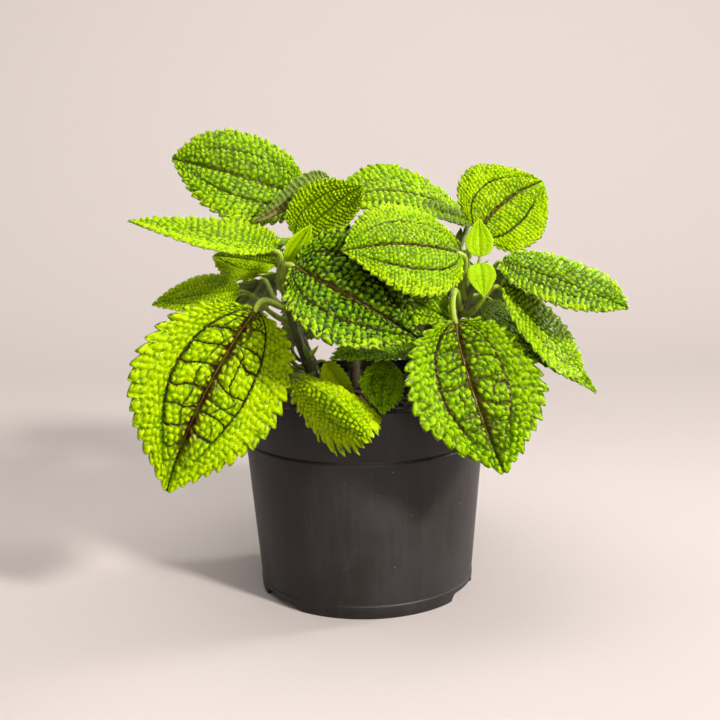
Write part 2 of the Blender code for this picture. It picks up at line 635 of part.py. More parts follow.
def build_stem(name, spec):
    """A stem with the smallest leaves at its tip."""
    path = stem_path(spec)
    radii = np.linspace(STEM_FOOT_RADIUS, STEM_TIP_RADIUS, len(path))
    radii[0] = radii[1] = STEM_FOOT_RADIUS - 0.1
    points, faces = tube(path, radii, STEM_SIDES)
    stem = mesh_object(name, points, faces, (0.16, 0.2, 0.05), 0.6)
    tools = []
    tip = np.array(spec["tip"], float)
    for k, (turn, rise, length, width) in enumerate(spec["buds"]):
        turn, rise = math.radians(turn), math.radians(rise)
        out = np.array((math.sin(turn) * math.cos(rise), -math.cos(turn) * math.cos(rise), math.sin(rise)))
        inward = np.array((-out[0], -out[1], 0.8))
        base = tip + out * 0.6 - (0, 0, 1.2)
        blade = Blade(base, base + out * (length + 1), inward, width, arch=-30, fold=30, cup=20)
        points, faces = blade_mesh(blade, BUD_TEETH, (1.0,), BUD_TOOTH, BUD_THICKNESS)
        tools.append(mesh_object(f"{name}_bud_{k}", points, faces))
    combine(stem, tools, "UNION")
    smooth(stem, 40)


def stalk_path(spec, blade):
    """Points from just off the stem to a little way under the blade's midrib."""
    place, along, radius = stem_point(STEMS[spec["stem"]], spec["up"])
    out = np.array(spec.get("by", blade.base), float) - place
    out = unit(out - along * along.dot(out))
    root = place + out * (radius + GAP)
    start = root + out
    reach = np.linalg.norm(blade.base - start)
    into = blade.tangent[0]
    lead = np.array(spec.get("by", start + (out + along * 0.4) * reach * 0.4), float)
    end = blade.base - blade.normal * STALK_DROP
    bend = bezier(start, lead, end - into * reach * 0.3, end, 4)
    return np.vstack([root, bend, end + into * 2.5])


def build_leaf(name, spec):
    """One leaf: the toothed blade with its stalk."""
    shape = {k: v for k, v in spec.items() if k not in ("stem", "up", "by", "teeth")}
    blade = Blade(**shape)
    columns = next(columns for most, columns in COLUMNS if spec["teeth"] <= most)
    tooth = TOOTH_SHARE * spec["width"] + TOOTH_LEAST
    points, faces = blade_mesh(blade, spec["teeth"], columns, tooth)
    leaf = mesh_object(name, points, faces, (0.2, 0.42, 0.03), 0.45)
    path = stalk_path(spec, blade)
    thick = STALK_LEAST + STALK_SHARE * spec["width"]
    radii = np.append(np.full(len(path) - 1, thick), thick * 0.7)
    points, faces = tube(path, radii, STALK_SIDES)
    combine(leaf, [mesh_object(name + "_stalk", points, faces)], "UNION")
    smooth(leaf, 50)


def main():
    clear_scene()
    build_pot()
    build_soil()
    for name, spec in STEMS.items():
        build_stem(name, spec)
    for name, spec in LEAVES.items():
        build_leaf(name, spec)


main()
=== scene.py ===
# %% [markdown]
# # Potted friendship plant
# A friendship plant is a low house plant whose toothed leaves are quilted all over between dark
# red-brown veins. This one grows in a plain black nursery pot. The frame brings the pot, the soil,
# the stems and the leaves at their real size. Each of them gets a finer skin here, in the same
# place, and then its finish.

# %% Load the frame
import json
import math

import bmesh
import bpy
import numpy as np
from mathutils import Matrix, Vector

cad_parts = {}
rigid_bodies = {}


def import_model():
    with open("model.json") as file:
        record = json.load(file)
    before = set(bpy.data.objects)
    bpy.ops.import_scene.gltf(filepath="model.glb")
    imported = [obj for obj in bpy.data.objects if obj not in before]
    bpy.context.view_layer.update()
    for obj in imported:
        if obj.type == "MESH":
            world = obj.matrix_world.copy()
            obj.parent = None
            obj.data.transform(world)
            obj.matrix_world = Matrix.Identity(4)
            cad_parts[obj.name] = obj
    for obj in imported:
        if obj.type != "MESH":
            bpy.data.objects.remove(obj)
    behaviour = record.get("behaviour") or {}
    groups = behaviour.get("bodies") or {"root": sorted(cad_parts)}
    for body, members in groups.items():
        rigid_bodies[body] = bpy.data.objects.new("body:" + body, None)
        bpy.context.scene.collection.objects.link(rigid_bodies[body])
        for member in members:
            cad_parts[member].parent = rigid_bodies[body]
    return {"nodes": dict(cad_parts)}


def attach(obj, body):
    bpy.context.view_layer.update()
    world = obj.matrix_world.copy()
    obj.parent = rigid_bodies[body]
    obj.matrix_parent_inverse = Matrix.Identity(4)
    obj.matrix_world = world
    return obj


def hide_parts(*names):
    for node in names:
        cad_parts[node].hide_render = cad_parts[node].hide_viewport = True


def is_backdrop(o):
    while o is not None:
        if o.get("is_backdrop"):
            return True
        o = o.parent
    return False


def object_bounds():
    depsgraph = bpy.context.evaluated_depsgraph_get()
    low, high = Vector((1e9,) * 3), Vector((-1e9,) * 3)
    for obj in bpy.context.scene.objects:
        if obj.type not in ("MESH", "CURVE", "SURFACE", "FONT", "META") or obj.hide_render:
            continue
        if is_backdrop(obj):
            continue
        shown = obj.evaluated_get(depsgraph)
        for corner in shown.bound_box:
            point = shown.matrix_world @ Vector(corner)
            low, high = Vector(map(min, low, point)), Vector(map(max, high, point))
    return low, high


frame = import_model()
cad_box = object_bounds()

MM = 0.001
draw = np.random.default_rng(11)
print("nodes in the frame:", len(frame["nodes"]))

# %% [markdown]
# ## View, light and floor
# The camera stands half a metre and a bit in front of the pot, a little above its rim, and looks
# slightly down. It could be aimed with a constraint, but a matrix written from its pitch, yaw and
# roll says exactly where each pixel looks.

# %% Camera
CAMERA_PLACE = (0.0, -0.6, 0.236)
PITCH_DEGREES, YAW_DEGREES, ROLL_DEGREES = 11.7, -0.14, -1.11
FOCAL_PIXELS = 1266
FRAME_PIXELS = 720
SENSOR_MM = 36.0


def aimed(place, pitch, yaw, roll):
    """The camera's matrix: its view is turned by yaw about Z, tipped down by pitch, then rolled."""
    ahead = np.array((math.sin(yaw), math.cos(yaw), 0))
    right = np.array((math.cos(yaw), -math.sin(yaw), 0))
    forward = ahead * math.cos(pitch) - np.array((0, 0, math.sin(pitch)))
    up = ahead * math.sin(pitch) + np.array((0, 0, math.cos(pitch)))
    rolled_right = right * math.cos(roll) + up * math.sin(roll)
    rolled_up = up * math.cos(roll) - right * math.sin(roll)
    matrix = Matrix.Translation(place)
    for row in range(3):
        matrix[row][:3] = (rolled_right[row], rolled_up[row], -forward[row])
    return matrix


camera = bpy.data.objects.new("camera", bpy.data.cameras.new("camera"))
bpy.context.scene.collection.objects.link(camera)
camera.data.sensor_width = SENSOR_MM
camera.data.lens = FOCAL_PIXELS / FRAME_PIXELS * SENSOR_MM
camera.data.clip_start = 0.01
camera.matrix_world = aimed(
    CAMERA_PLACE, *(math.radians(angle) for angle in (PITCH_DEGREES, YAW_DEGREES, ROLL_DEGREES)))
bpy.context.scene.camera = camera
print("lens in mm:", round(camera.data.lens, 1))

# %% [markdown]
# A small strong light from the upper right gives every bump and tooth its bright side and a crisp
# shadow. Two broad weak ones, above and in front, fill the shade, and a narrow one far round the
# side draws a bright line down the pot. Area lights are used because their size alone sets how soft
# a shadow is. The last one washes the backdrop.

# %% Lights
# Each light: its place, what it is aimed at, its size in metres, its power in watts, its colour, and
# how many degrees it spreads over.
LIGHTS = {
    "key": ((1.15, -1.2, 1.1), (0, -0.02, 0.13), 0.25, 91.0, (1, 0.97, 0.93), 180),
    "top": ((0.1, -0.3, 1.4), (0, 0, 0.15), 1.6, 9.0, (1, 0.98, 0.95), 180),
    "front": ((0.1, -1.5, 0.45), (0, 0, 0.12), 1.2, 13.0, (1, 0.95, 0.9), 180),
    "side": ((1.1, 0.35, 0.6), (0, 0, 0.14), 0.4, 0.8, (1, 0.98, 0.95), 25),
    "wash": ((-0.2, 0.35, 1.4), (-0.1, 1.0, 0.4), 1.6, 28.0, (1, 0.98, 0.96), 180),
}
WORLD_COLOUR = (0.86, 0.83, 0.8)
WORLD_STRENGTH = 0.12

for name, (place, aim, width, power, tint, spread) in LIGHTS.items():
    lamp = bpy.data.objects.new(name, bpy.data.lights.new(name, "AREA"))
    bpy.context.scene.collection.objects.link(lamp)
    lamp.data.shape = "DISK"
    lamp.data.size = width
    lamp.data.energy = power
    lamp.data.color = tint
    lamp.data.spread = math.radians(spread)
    lamp.location = place
    lamp.rotation_euler = (Vector(aim) - lamp.location).to_track_quat("-Z", "Y").to_euler()

world = bpy.data.worlds.new("room")
world.use_nodes = True
world.node_tree.nodes["Background"].inputs["Color"].default_value = (*WORLD_COLOUR, 1)
world.node_tree.nodes["Background"].inputs["Strength"].default_value = WORLD_STRENGTH
bpy.context.scene.world = world
bpy.context.scene.view_settings.view_transform = "Standard"
print("lights:", ", ".join(LIGHTS))

# %% [markdown]
# ## Helpers for meshes
# Every new piece is a grid of points worked out as whole arrays. Rows of the grid run along the
# piece and columns across it. Points that land on each other, at a pole or along a seam, are merged
# so that the skin is closed.

# %% Mesh helpers
WELD = 3e-6


def grid_faces(rows, columns, start=0, around=False, flip=False):
    """Four corner numbers for each cell of a grid of rows by columns points.

    Point (r, c) has the number start + r * columns + c. With around, the last column joins the first.
    """
    across = columns if around else columns - 1
    r, c = np.meshgrid(np.arange(rows - 1), np.arange(across), indexing="ij")
    n = (c + 1) % columns
    low, high = r * columns, (r + 1) * columns
    faces = np.stack([low + c, high + c, high + n, low + n], -1).reshape(-1, 4) + start
    return faces[:, ::-1] if flip else faces


def new_piece(name, points, faces, materials, picks=None, marks=None):
    """A smooth shaded object from points in millimetres and arrays of faces.

    picks holds a material number for each face, and marks holds one vector for each point by name.
    """
    mesh = bpy.data.meshes.new(name)
    corners = np.concatenate([part.ravel() for part in faces]).astype(np.int32)
    sizes = np.concatenate([np.full(len(part), part.shape[1]) for part in faces])
    mesh.vertices.add(len(points))
    mesh.vertices.foreach_set("co", (np.asarray(points) * MM).astype(np.float32).ravel())
    mesh.loops.add(len(corners))
    mesh.loops.foreach_set("vertex_index", corners)
    mesh.polygons.add(len(sizes))
    mesh.polygons.foreach_set("loop_start", (np.cumsum(sizes) - sizes).astype(np.int32))
    if picks is not None:
        mesh.polygons.foreach_set("material_index", picks.astype(np.int32))
    for mark, values in (marks or {}).items():
        attribute = mesh.attributes.new(mark, "FLOAT_VECTOR", "POINT")
        attribute.data.foreach_set("vector", values.astype(np.float32).ravel())
    mesh.update(calc_edges=True)
    welded = bmesh.new()
    welded.from_mesh(mesh)
    bmesh.ops.remove_doubles(welded, verts=welded.verts, dist=WELD)
    bmesh.ops.dissolve_degenerate(welded, edges=welded.edges, dist=WELD / 10)
    welded.to_mesh(mesh)
    welded.free()
    mesh.polygons.foreach_set("use_smooth", np.ones(len(mesh.polygons), bool))
    for material in materials:
        mesh.materials.append(material)
    made = bpy.data.objects.new(name, mesh)
    bpy.context.scene.collection.objects.link(made)
    return made


def triangles(made):
    """How many triangles a mesh has."""
    return sum(len(face.vertices) - 2 for face in made.data.polygons)


def drift(x, y, size, seed):
    """Smooth noise from -1 to 1: random heights on a lattice of the given size, blended between."""
    heights = np.random.default_rng(seed).uniform(-1, 1, (64, 64))
    u, v = np.asarray(x) / size, np.asarray(y) / size
    i, j = np.floor(u).astype(int), np.floor(v).astype(int)
    a, b = u - i, v - j
    a, b = a * a * (3 - 2 * a), b * b * (3 - 2 * b)
    near = heights[i % 64, j % 64] * (1 - a) + heights[(i + 1) % 64, j % 64] * a
    far = heights[i % 64, (j + 1) % 64] * (1 - a) + heights[(i + 1) % 64, (j + 1) % 64] * a
    return near * (1 - b) + far * b


def ease(value, low, high):
    """0 below low, 1 above high, and a smooth S between them. Low may be the larger one."""
    t = np.clip((value - low) / (high - low), 0, 1)
    return t * t * (3 - 2 * t)


def unit(vector):
    """A vector, or each row of an array of vectors, at length 1."""
    return vector / np.linalg.norm(vector, axis=-1, keepdims=True)


print("weld distance in mm:", WELD / MM)

# %% [markdown]
# ## Helpers for materials
# The finishes are node trees. A small hand for placing nodes keeps each material readable: one call
# places a node, joins what it is given and hands back the node.

# %% Node helper


class Hand:
    """Places nodes in one tree."""

    def __init__(self, tree):
        self.tree = tree

    def node(self, kind, inputs=None, **settings):
        """A node with its settings, and with a value or another node's output on each named input."""
        made = self.tree.nodes.new(kind)
        for key, value in settings.items():
            setattr(made, key, value)
        for key, value in (inputs or {}).items():
            if isinstance(value, bpy.types.NodeSocket):
                self.tree.links.new(value, made.inputs[key])
            else:
                made.inputs[key].default_value = value
        return made

    def math(self, operation, *values):
        """The result of a Math node."""
        return self.node("ShaderNodeMath", dict(enumerate(values)), operation=operation).outputs[0]

    def times(self, first, *others):
        """All the values multiplied together."""
        for value in others:
            first = self.math("MULTIPLY", first, value)
        return first

    def scaled(self, value, factor, offset):
        """A value times a factor, plus an offset."""
        return self.math("MULTIPLY_ADD", value, factor, offset)

    def ease(self, value, low, high):
        """0 at low and 1 at high, with a smooth S between them."""
        inputs = {"Value": value, "From Min": low, "From Max": high}
        made = self.node("ShaderNodeMapRange", inputs, interpolation_type="SMOOTHSTEP")
        return made.outputs["Result"]

    def mix(self, factor, one, other):
        """Two colours mixed by a factor. A colour is a node's output or three numbers."""
        colours = [c if isinstance(c, bpy.types.NodeSocket) else (*c, 1) for c in (one, other)]
        inputs = {0: factor, 6: colours[0], 7: colours[1]}
        return self.node("ShaderNodeMix", inputs, data_type="RGBA").outputs[2]

    def attribute(self, name):
        """The three parts of a piece's own attribute."""
        vector = self.node("ShaderNodeAttribute", attribute_name=name).outputs["Vector"]
        return self.node("ShaderNodeSeparateXYZ", {"Vector": vector}).outputs

    def mottle(self, scale, low=0.0, high=1.0, stretch=(1, 1, 1)):
        """The shared mottle group with its own values."""
        inputs = {"Scale": scale, "Low": low, "High": high, "Stretch": stretch}
        return self.node("ShaderNodeGroup", inputs, node_tree=MOTTLE).outputs["Mask"]

    def pimples(self, scale):
        """The distance to the nearest of many points strewn through space."""
        place = self.node("ShaderNodeTexCoord").outputs["Object"]
        return self.node("ShaderNodeTexVoronoi", {"Vector": place, "Scale": scale}).outputs["Distance"]

    def bump(self, height, distance, strength=1.0):
        """A surface normal tilted by a height, which counts as distance metres where it is 1."""
        inputs = {"Height": height, "Distance": distance, "Strength": strength}
        return self.node("ShaderNodeBump", inputs).outputs["Normal"]


def new_material(name):
    """An empty material, and the hand that fills its tree."""
    made = bpy.data.materials.new(name)
    made.use_nodes = True
    made.node_tree.nodes.clear()
    return made, Hand(made.node_tree)


def finish(hand, inputs):
    """Places the Principled shader with these inputs and joins it to the output."""
    shader = hand.node("ShaderNodeBsdfPrincipled", inputs)
    hand.node("ShaderNodeOutputMaterial", {"Surface": shader.outputs[0]})


print("a hand can:", ", ".join(name for name in vars(Hand) if not name.startswith("_")))

# %% [markdown]
# Nothing on a plant, in its soil or on a used pot has one even colour. The same mottle serves all
# of them: noise on object coordinates, stretched if the pattern has a grain, and cut between a low
# and a high value. Being a group, it is built once and placed with other values each time.

# %% Mottle group


def mottle_group():
    """A group from Scale, Low, High and Stretch to a Mask."""
    group = bpy.data.node_groups.new("mottle", "ShaderNodeTree")
    for name, kind in (("Scale", "Float"), ("Low", "Float"), ("High", "Float"), ("Stretch", "Vector")):
        group.interface.new_socket(name, in_out="INPUT", socket_type="NodeSocket" + kind)
    group.interface.new_socket("Mask", in_out="OUTPUT", socket_type="NodeSocketFloat")
    hand = Hand(group)
    given = hand.node("NodeGroupInput").outputs
    place = hand.node("ShaderNodeTexCoord").outputs["Object"]
    grained = hand.node("ShaderNodeVectorMath", {0: place, 1: given["Stretch"]}, operation="MULTIPLY")
    inputs = {"Vector": grained.outputs[0], "Scale": given["Scale"], "Detail": 3.0}
    noise = hand.node("ShaderNodeTexNoise", inputs).outputs[0]
    mask = hand.ease(noise, given["Low"], given["High"])
    hand.node("NodeGroupOutput", {"Mask": mask})
    return group


MOTTLE = mottle_group()
print("mottle inputs:", ", ".join(socket.name for socket in MOTTLE.interface.items_tree))

# %% [markdown]
# A plain pale floor runs up into a backdrop behind the plant, so there is no horizon line to
# compete with the leaves. It is one profile carried sideways.

# %% Floor
FLOOR_COLOUR = (0.266, 0.237, 0.226)
FLOOR_LIGHT = (0.282, 0.252, 0.24)
FLOOR_FRONT, FLOOR_BACK = -1500.0, 500.0
SWEEP_RADIUS = 500.0
BACKDROP_HEIGHT = 1600.0
FLOOR_HALF_WIDTH = 2000.0


def floor_profile():
    """Points of (y, z): flat, then a quarter circle up, then straight up."""
    turn = np.linspace(0, math.pi / 2, 17)
    curve = np.stack([FLOOR_BACK + SWEEP_RADIUS * np.sin(turn), SWEEP_RADIUS * (1 - np.cos(turn))], 1)
    end = (FLOOR_BACK + SWEEP_RADIUS, BACKDROP_HEIGHT)
    return np.vstack([(FLOOR_FRONT, 0), curve, end])


profile = floor_profile()
sides = np.array((-FLOOR_HALF_WIDTH, FLOOR_HALF_WIDTH))
points = np.array([(x, y, z) for y, z in profile for x in sides])
paper, hand = new_material("backdrop")
grain = hand.mottle(900)
colour = hand.mix(grain, FLOOR_COLOUR, FLOOR_LIGHT)
finish(hand, {"Base Color": colour, "Roughness": 0.9})
floor = new_piece("floor", points, [grid_faces(len(profile), 2, flip=True)], [paper])
floor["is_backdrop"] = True
print("floor points:", len(points))

# %% [markdown]
# ## Pot
# A nursery pot is one thin shell of black plastic, with a straight band at the rim, a small step
# under it, a raised floor with drain holes and a foot ring with three wide notches. A lathe shape
# is a profile turned about the axis, and the corners of the profile are rounded first, since a
# moulded edge always catches a thin line of light. At a notch the foot's points are lifted to the
# notch's height, each a little more the higher it was, so that none changes places with another. The
# drain holes are cut by a Boolean.

# %% Pot sizes
POT_HEIGHT = 100.0
RIM_RADIUS = 60.0
BAND_HEIGHT = 23.0
BAND_STEP = 1.2
BAND_GROOVE = 0.8
BODY_TOP_RADIUS = 58.0
BASE_RADIUS = 51.5
WALL = 1.4
FOOT_LINE = 6.0
FOOT_STEP = 0.4
FOOT_WIDTH = 2.2
FLOOR_HEIGHT = 5.0
FLOOR_THICKNESS = 1.6
PAD_RADIUS = 20.0
PAD_SLOPE = 3.0
DRAIN_HOLES = 8
DRAIN_RADIUS = 4.0
DRAIN_CIRCLE = 36.0
DRAIN_TURN = 0.3
FOOT_NOTCHES = 3
NOTCH_WIDTH = 26.0
NOTCH_HEIGHT = 3.4
NOTCH_SLOPE = 2.5
FIRST_NOTCH_DEGREES = -144.0
NOTCH_KEEP = 0.15
EDGE = 0.6
CORNER = 0.5
POT_SEGMENTS = 200
DRAIN_SIDES = 24
CUT_PAST = 2.0


def body_radius(height):
    """The tapered body's outer radius, which grows evenly from the base to the band."""
    return BASE_RADIUS + (BODY_TOP_RADIUS - BASE_RADIUS) * height / (POT_HEIGHT - BAND_HEIGHT)


def band_radius(height):
    """The rim band's outer radius."""
    foot = BODY_TOP_RADIUS + BAND_STEP
    return foot + (RIM_RADIUS - foot) * (height - POT_HEIGHT + BAND_HEIGHT) / BAND_HEIGHT


print("rim and base across in mm:", 2 * RIM_RADIUS, 2 * BASE_RADIUS)

# %% Pot shape
BAND_FOOT = POT_HEIGHT - BAND_HEIGHT
POT_FLOOR = FLOOR_HEIGHT + FLOOR_THICKNESS
POT_PROFILE = [
    (0, 0),
    (PAD_RADIUS, 0),
    (PAD_RADIUS + PAD_SLOPE, FLOOR_HEIGHT),
    (BASE_RADIUS - FOOT_WIDTH, FLOOR_HEIGHT),
    (BASE_RADIUS - FOOT_WIDTH, 0),
    (BASE_RADIUS + FOOT_STEP, 0),
    (body_radius(FOOT_LINE) + FOOT_STEP, FOOT_LINE),
    (body_radius(FOOT_LINE + EDGE), FOOT_LINE + EDGE),
    (body_radius(BAND_FOOT - 3 * EDGE), BAND_FOOT - 3 * EDGE),
    (BODY_TOP_RADIUS - BAND_GROOVE, BAND_FOOT - EDGE),
    (BODY_TOP_RADIUS - BAND_GROOVE, BAND_FOOT),
    (BODY_TOP_RADIUS + BAND_STEP, BAND_FOOT + EDGE / 2),
    (RIM_RADIUS, POT_HEIGHT - EDGE),
    (RIM_RADIUS - EDGE, POT_HEIGHT),
    (RIM_RADIUS - WALL, POT_HEIGHT),
    (band_radius(BAND_FOOT + EDGE) - WALL, BAND_FOOT + EDGE),
    (BODY_TOP_RADIUS - WALL, BAND_FOOT - EDGE),
    (body_radius(POT_FLOOR) - WALL, POT_FLOOR),
    (PAD_RADIUS + PAD_SLOPE - FLOOR_THICKNESS, POT_FLOOR),
    (PAD_RADIUS - FLOOR_THICKNESS, FLOOR_THICKNESS),
    (0, FLOOR_THICKNESS),
]


def rounded(corners, radius, steps=4):
    """The profile with each inner corner replaced by a short curve.

    The curve starts and ends a radius from the corner, or under half an edge where that is less.
    """
    corners = np.asarray(corners, float)
    result = [corners[0]]
    t = np.linspace(0, 1, steps)[:, None]
    for before, corner, after in zip(corners, corners[1:], corners[2:]):
        back, on = before - corner, after - corner
        start = corner + back * min(0.45, radius / np.linalg.norm(back))
        end = corner + on * min(0.45, radius / np.linalg.norm(on))
        result.extend((1 - t) ** 2 * start + 2 * t * (1 - t) * corner + t**2 * end)
    return np.array(result + [corners[-1]])


def notch_lift(angle):
    """How far the foot is lifted at an angle: full inside a notch, with slanted ends."""
    away = np.full(angle.shape, 180.0)
    for k in range(FOOT_NOTCHES):
        centre = FIRST_NOTCH_DEGREES + 360 * k / FOOT_NOTCHES
        away = np.minimum(away, np.abs((np.degrees(angle) - centre + 180) % 360 - 180))
    inside = NOTCH_WIDTH / 2 - np.radians(away) * BASE_RADIUS
    return NOTCH_HEIGHT * np.clip(inside / NOTCH_SLOPE + 0.5, 0, 1)


def turned(profile, segments):
    """The points of a profile of (radius, height) turned about Z, one row for each profile point."""
    angle = np.arange(segments) * 2 * math.pi / segments
    radius, height = (values[:, None] for values in np.asarray(profile).T)
    return np.stack(np.broadcast_arrays(radius * np.cos(angle), radius * np.sin(angle), height), -1)


pot_points = turned(rounded(POT_PROFILE, CORNER), POT_SEGMENTS)
foot = np.hypot(pot_points[..., 0], pot_points[..., 1]) > BASE_RADIUS - FOOT_WIDTH - EDGE
lifted = notch_lift(np.arctan2(pot_points[..., 1], pot_points[..., 0]))
lifted = lifted + NOTCH_KEEP * pot_points[..., 2]
in_foot = foot & (pot_points[..., 2] < FOOT_LINE)
pot_points[..., 2] = np.where(in_foot, np.maximum(pot_points[..., 2], lifted), pot_points[..., 2])
print("pot profile points:", len(pot_points))

# %% [markdown]
# The plastic is nearly black, with a dull sheen that turns patchy where the pot was handled. Fine
# upright flow lines, scuffs and a few specks of dust show on it. All of it is noise on object
# coordinates, stretched for the lines and cut to its highest tips for the specks.

# %% Pot finish
PLASTIC = (0.008, 0.006, 0.005)
PLASTIC_WORN = (0.02, 0.017, 0.018)
DUST = (0.4, 0.36, 0.32)

plastic, hand = new_material("pot_plastic")
patches = hand.mottle(28, 0.35, 0.75)
flow = hand.mottle(420, 0.45, 0.8, (1, 1, 0.05))
grain = hand.mottle(2600)
specks = hand.mottle(900, 0.75, 0.79)
scuffs = hand.mottle(160, 0.55, 0.8, (1, 1, 0.25))
worn = hand.times(hand.math("ADD", patches, hand.times(flow, 0.5)), 0.6)
colour = hand.mix(worn, PLASTIC, PLASTIC_WORN)
colour = hand.mix(hand.times(scuffs, 0.25), colour, PLASTIC_WORN)
colour = hand.mix(hand.times(specks, 0.7), colour, DUST)
roughness = hand.math("ADD", 0.42, hand.times(hand.math("ADD", scuffs, patches), 0.1))
relief = hand.math("ADD", grain, hand.times(flow, 0.6))
normal = hand.bump(relief, 0.00006, 0.5)
finish(hand, {"Base Color": colour, "Roughness": roughness, "Normal": normal, "IOR": 1.34})
print("pot finish nodes:", len(plastic.node_tree.nodes))

# %% Pot piece


def drain_cutters():
    """Round rods through the floor on a circle, for the drain holes."""
    cutters = bpy.data.collections.new("cutters")
    low, high = FLOOR_HEIGHT - CUT_PAST, POT_FLOOR + CUT_PAST
    rod = turned([(0, low), (DRAIN_RADIUS, low), (DRAIN_RADIUS, high), (0, high)], DRAIN_SIDES)
    faces = grid_faces(len(rod), DRAIN_SIDES, around=True, flip=True)
    for k in range(DRAIN_HOLES):
        angle = 2 * math.pi * (k + DRAIN_TURN) / DRAIN_HOLES
        moved = rod + DRAIN_CIRCLE * np.array((math.cos(angle), math.sin(angle), 0))
        cutters.objects.link(new_piece(f"cutter_{k}", moved.reshape(-1, 3), [faces], []))
    return cutters


pot = new_piece(
    "nursery_pot", pot_points.reshape(-1, 3),
    [grid_faces(len(pot_points), POT_SEGMENTS, around=True, flip=True)], [plastic])
cutters = drain_cutters()
holes = pot.modifiers.new("holes", "BOOLEAN")
holes.operand_type = "COLLECTION"
holes.collection = cutters
pot_mesh = bpy.data.meshes.new_from_object(pot.evaluated_get(bpy.context.evaluated_depsgraph_get()))
pot.modifiers.clear()
pot.data = pot_mesh
for cutter in list(cutters.objects):
    bpy.data.objects.remove(cutter)
bpy.data.collections.remove(cutters)
pot.data.set_sharp_from_angle(angle=math.radians(35))
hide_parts("pot")
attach(pot, "root")
print("pot triangles:", triangles(pot))

# %% [markdown]
# ## Soil
# The pot holds bark and peat, dark and damp. Its surface is a low mound, so one grid of rings and
# spokes gives the ground, with noise of three sizes for its crumbs. Chips of bark lie on it, each a
# small ball that is squashed and dented.

# %% Soil ground
SOIL_LEVEL = 93.0
SOIL_MOUND = 4.0
SOIL_RINGS = 64
SOIL_SPOKES = 180
GAP = 0.3


def soil_height(x, y):
    """The ground without its crumbs: a low mound with broad lumps."""
    radius = np.hypot(x, y) / RIM_RADIUS
    lumps = 0.9 * np.sin(0.23 * x + 1.0) * np.cos(0.19 * y) + 0.6 * np.sin(0.41 * y + 0.17 * x)
    return SOIL_LEVEL + SOIL_MOUND * np.cos(np.pi * radius / 2) ** 2 + lumps * (1 - radius**4)


def crumbs(x, y):
    """Crumbs of three sizes, where folded noise gives round tops with sharp dips between them."""
    coarse = 1.5 * (1 - np.abs(drift(x, y, 5.0, 3)))
    middle = 0.9 * (1 - np.abs(drift(x, y, 2.2, 4)))
    return coarse + middle + 0.3 * drift(x, y, 0.9, 5) - 1.4


soil_edge = band_radius(SOIL_LEVEL) - WALL - GAP
spoke = np.arange(SOIL_SPOKES) * 2 * math.pi / SOIL_SPOKES
ring = np.linspace(0, soil_edge, SOIL_RINGS)[:, None]
x, y = ring * np.cos(spoke), ring * np.sin(spoke)
z = soil_height(x, y) + crumbs(x, y) * ease(ring, soil_edge, soil_edge - 3)
top = np.stack([x, y, z], -1)
low_profile = [
    (soil_edge, SOIL_LEVEL - 2),
    (band_radius(BAND_FOOT + EDGE + GAP) - WALL - GAP, BAND_FOOT + EDGE + GAP),
    (BODY_TOP_RADIUS - WALL - GAP - 0.1, BAND_FOOT - EDGE),
    (body_radius(POT_FLOOR) - WALL - GAP, POT_FLOOR + GAP),
    (PAD_RADIUS + PAD_SLOPE - FLOOR_THICKNESS - GAP, POT_FLOOR + GAP),
    (PAD_RADIUS - FLOOR_THICKNESS - GAP, FLOOR_THICKNESS + GAP),
    (0, FLOOR_THICKNESS + GAP),
]
below = turned(low_profile, SOIL_SPOKES)
ground_points = np.concatenate([top, below])
print("soil level at the middle in mm:", round(float(top[0, 0, 2]), 1))

# %% Bark chips
CHIPS = 320
CHIP_ROWS, CHIP_COLUMNS = 6, 8
CHIP_SIZES = ((1.2, 3.8), (0.8, 2.2), (0.35, 0.9))
CHIP_RISE = 0.2
CHIP_TIP = 0.35


def turned_by(points, one, other, angles):
    """Each chip's points turned by its own angle in the plane of two axes."""
    c, s = np.cos(angles)[:, None, None], np.sin(angles)[:, None, None]
    result = points.copy()
    result[..., one] = c * points[..., one] - s * points[..., other]
    result[..., other] = s * points[..., one] + c * points[..., other]
    return result


def bark_chips():
    """Points of all chips: one ball, stretched to three half sizes, dented, turned and laid down."""
    up, around = np.meshgrid(
        np.linspace(0, math.pi, CHIP_ROWS), np.arange(CHIP_COLUMNS) * 2 * math.pi / CHIP_COLUMNS,
        indexing="ij")
    ball = np.stack([np.sin(up) * np.cos(around), np.sin(up) * np.sin(around), np.cos(up)], -1)
    ball = np.sign(ball) * np.abs(ball) ** 0.7
    sizes = np.stack([draw.uniform(low, high, CHIPS) for low, high in CHIP_SIZES], 1)
    dents = draw.uniform(0.7, 1.15, (CHIPS, CHIP_ROWS, CHIP_COLUMNS, 1))
    dents[:, 0] = dents[:, 0, :1]
    dents[:, -1] = dents[:, -1, :1]
    chips = ball[None] * sizes[:, None, None] * dents
    yaw, tip = draw.uniform(0, 2 * math.pi, CHIPS), draw.normal(0, CHIP_TIP, CHIPS)
    chips = turned_by(chips, 0, 2, tip)
    chips = turned_by(chips, 0, 1, yaw)
    reach = (soil_edge - 4) * np.sqrt(draw.uniform(0, 1, CHIPS))
    angle = draw.uniform(0, 2 * math.pi, CHIPS)
    place = np.stack([reach * np.cos(angle), reach * np.sin(angle)], 1)
    height = soil_height(*place.T) + 0.5 * crumbs(*place.T) + CHIP_RISE
    return chips + np.column_stack([place, height])[:, None, None]


chips = bark_chips()
chip_starts = np.arange(CHIPS) * CHIP_ROWS * CHIP_COLUMNS
chip_faces = np.concatenate([
    grid_faces(CHIP_ROWS, CHIP_COLUMNS, start, around=True) for start in chip_starts])
print("bark chips:", CHIPS)

# %% [markdown]
# Damp peat is close to black, and the bark in it runs from dark brown to a dull red-brown. The
# colour changes slowly from place to place and again from chip to chip, and the whole is matt.

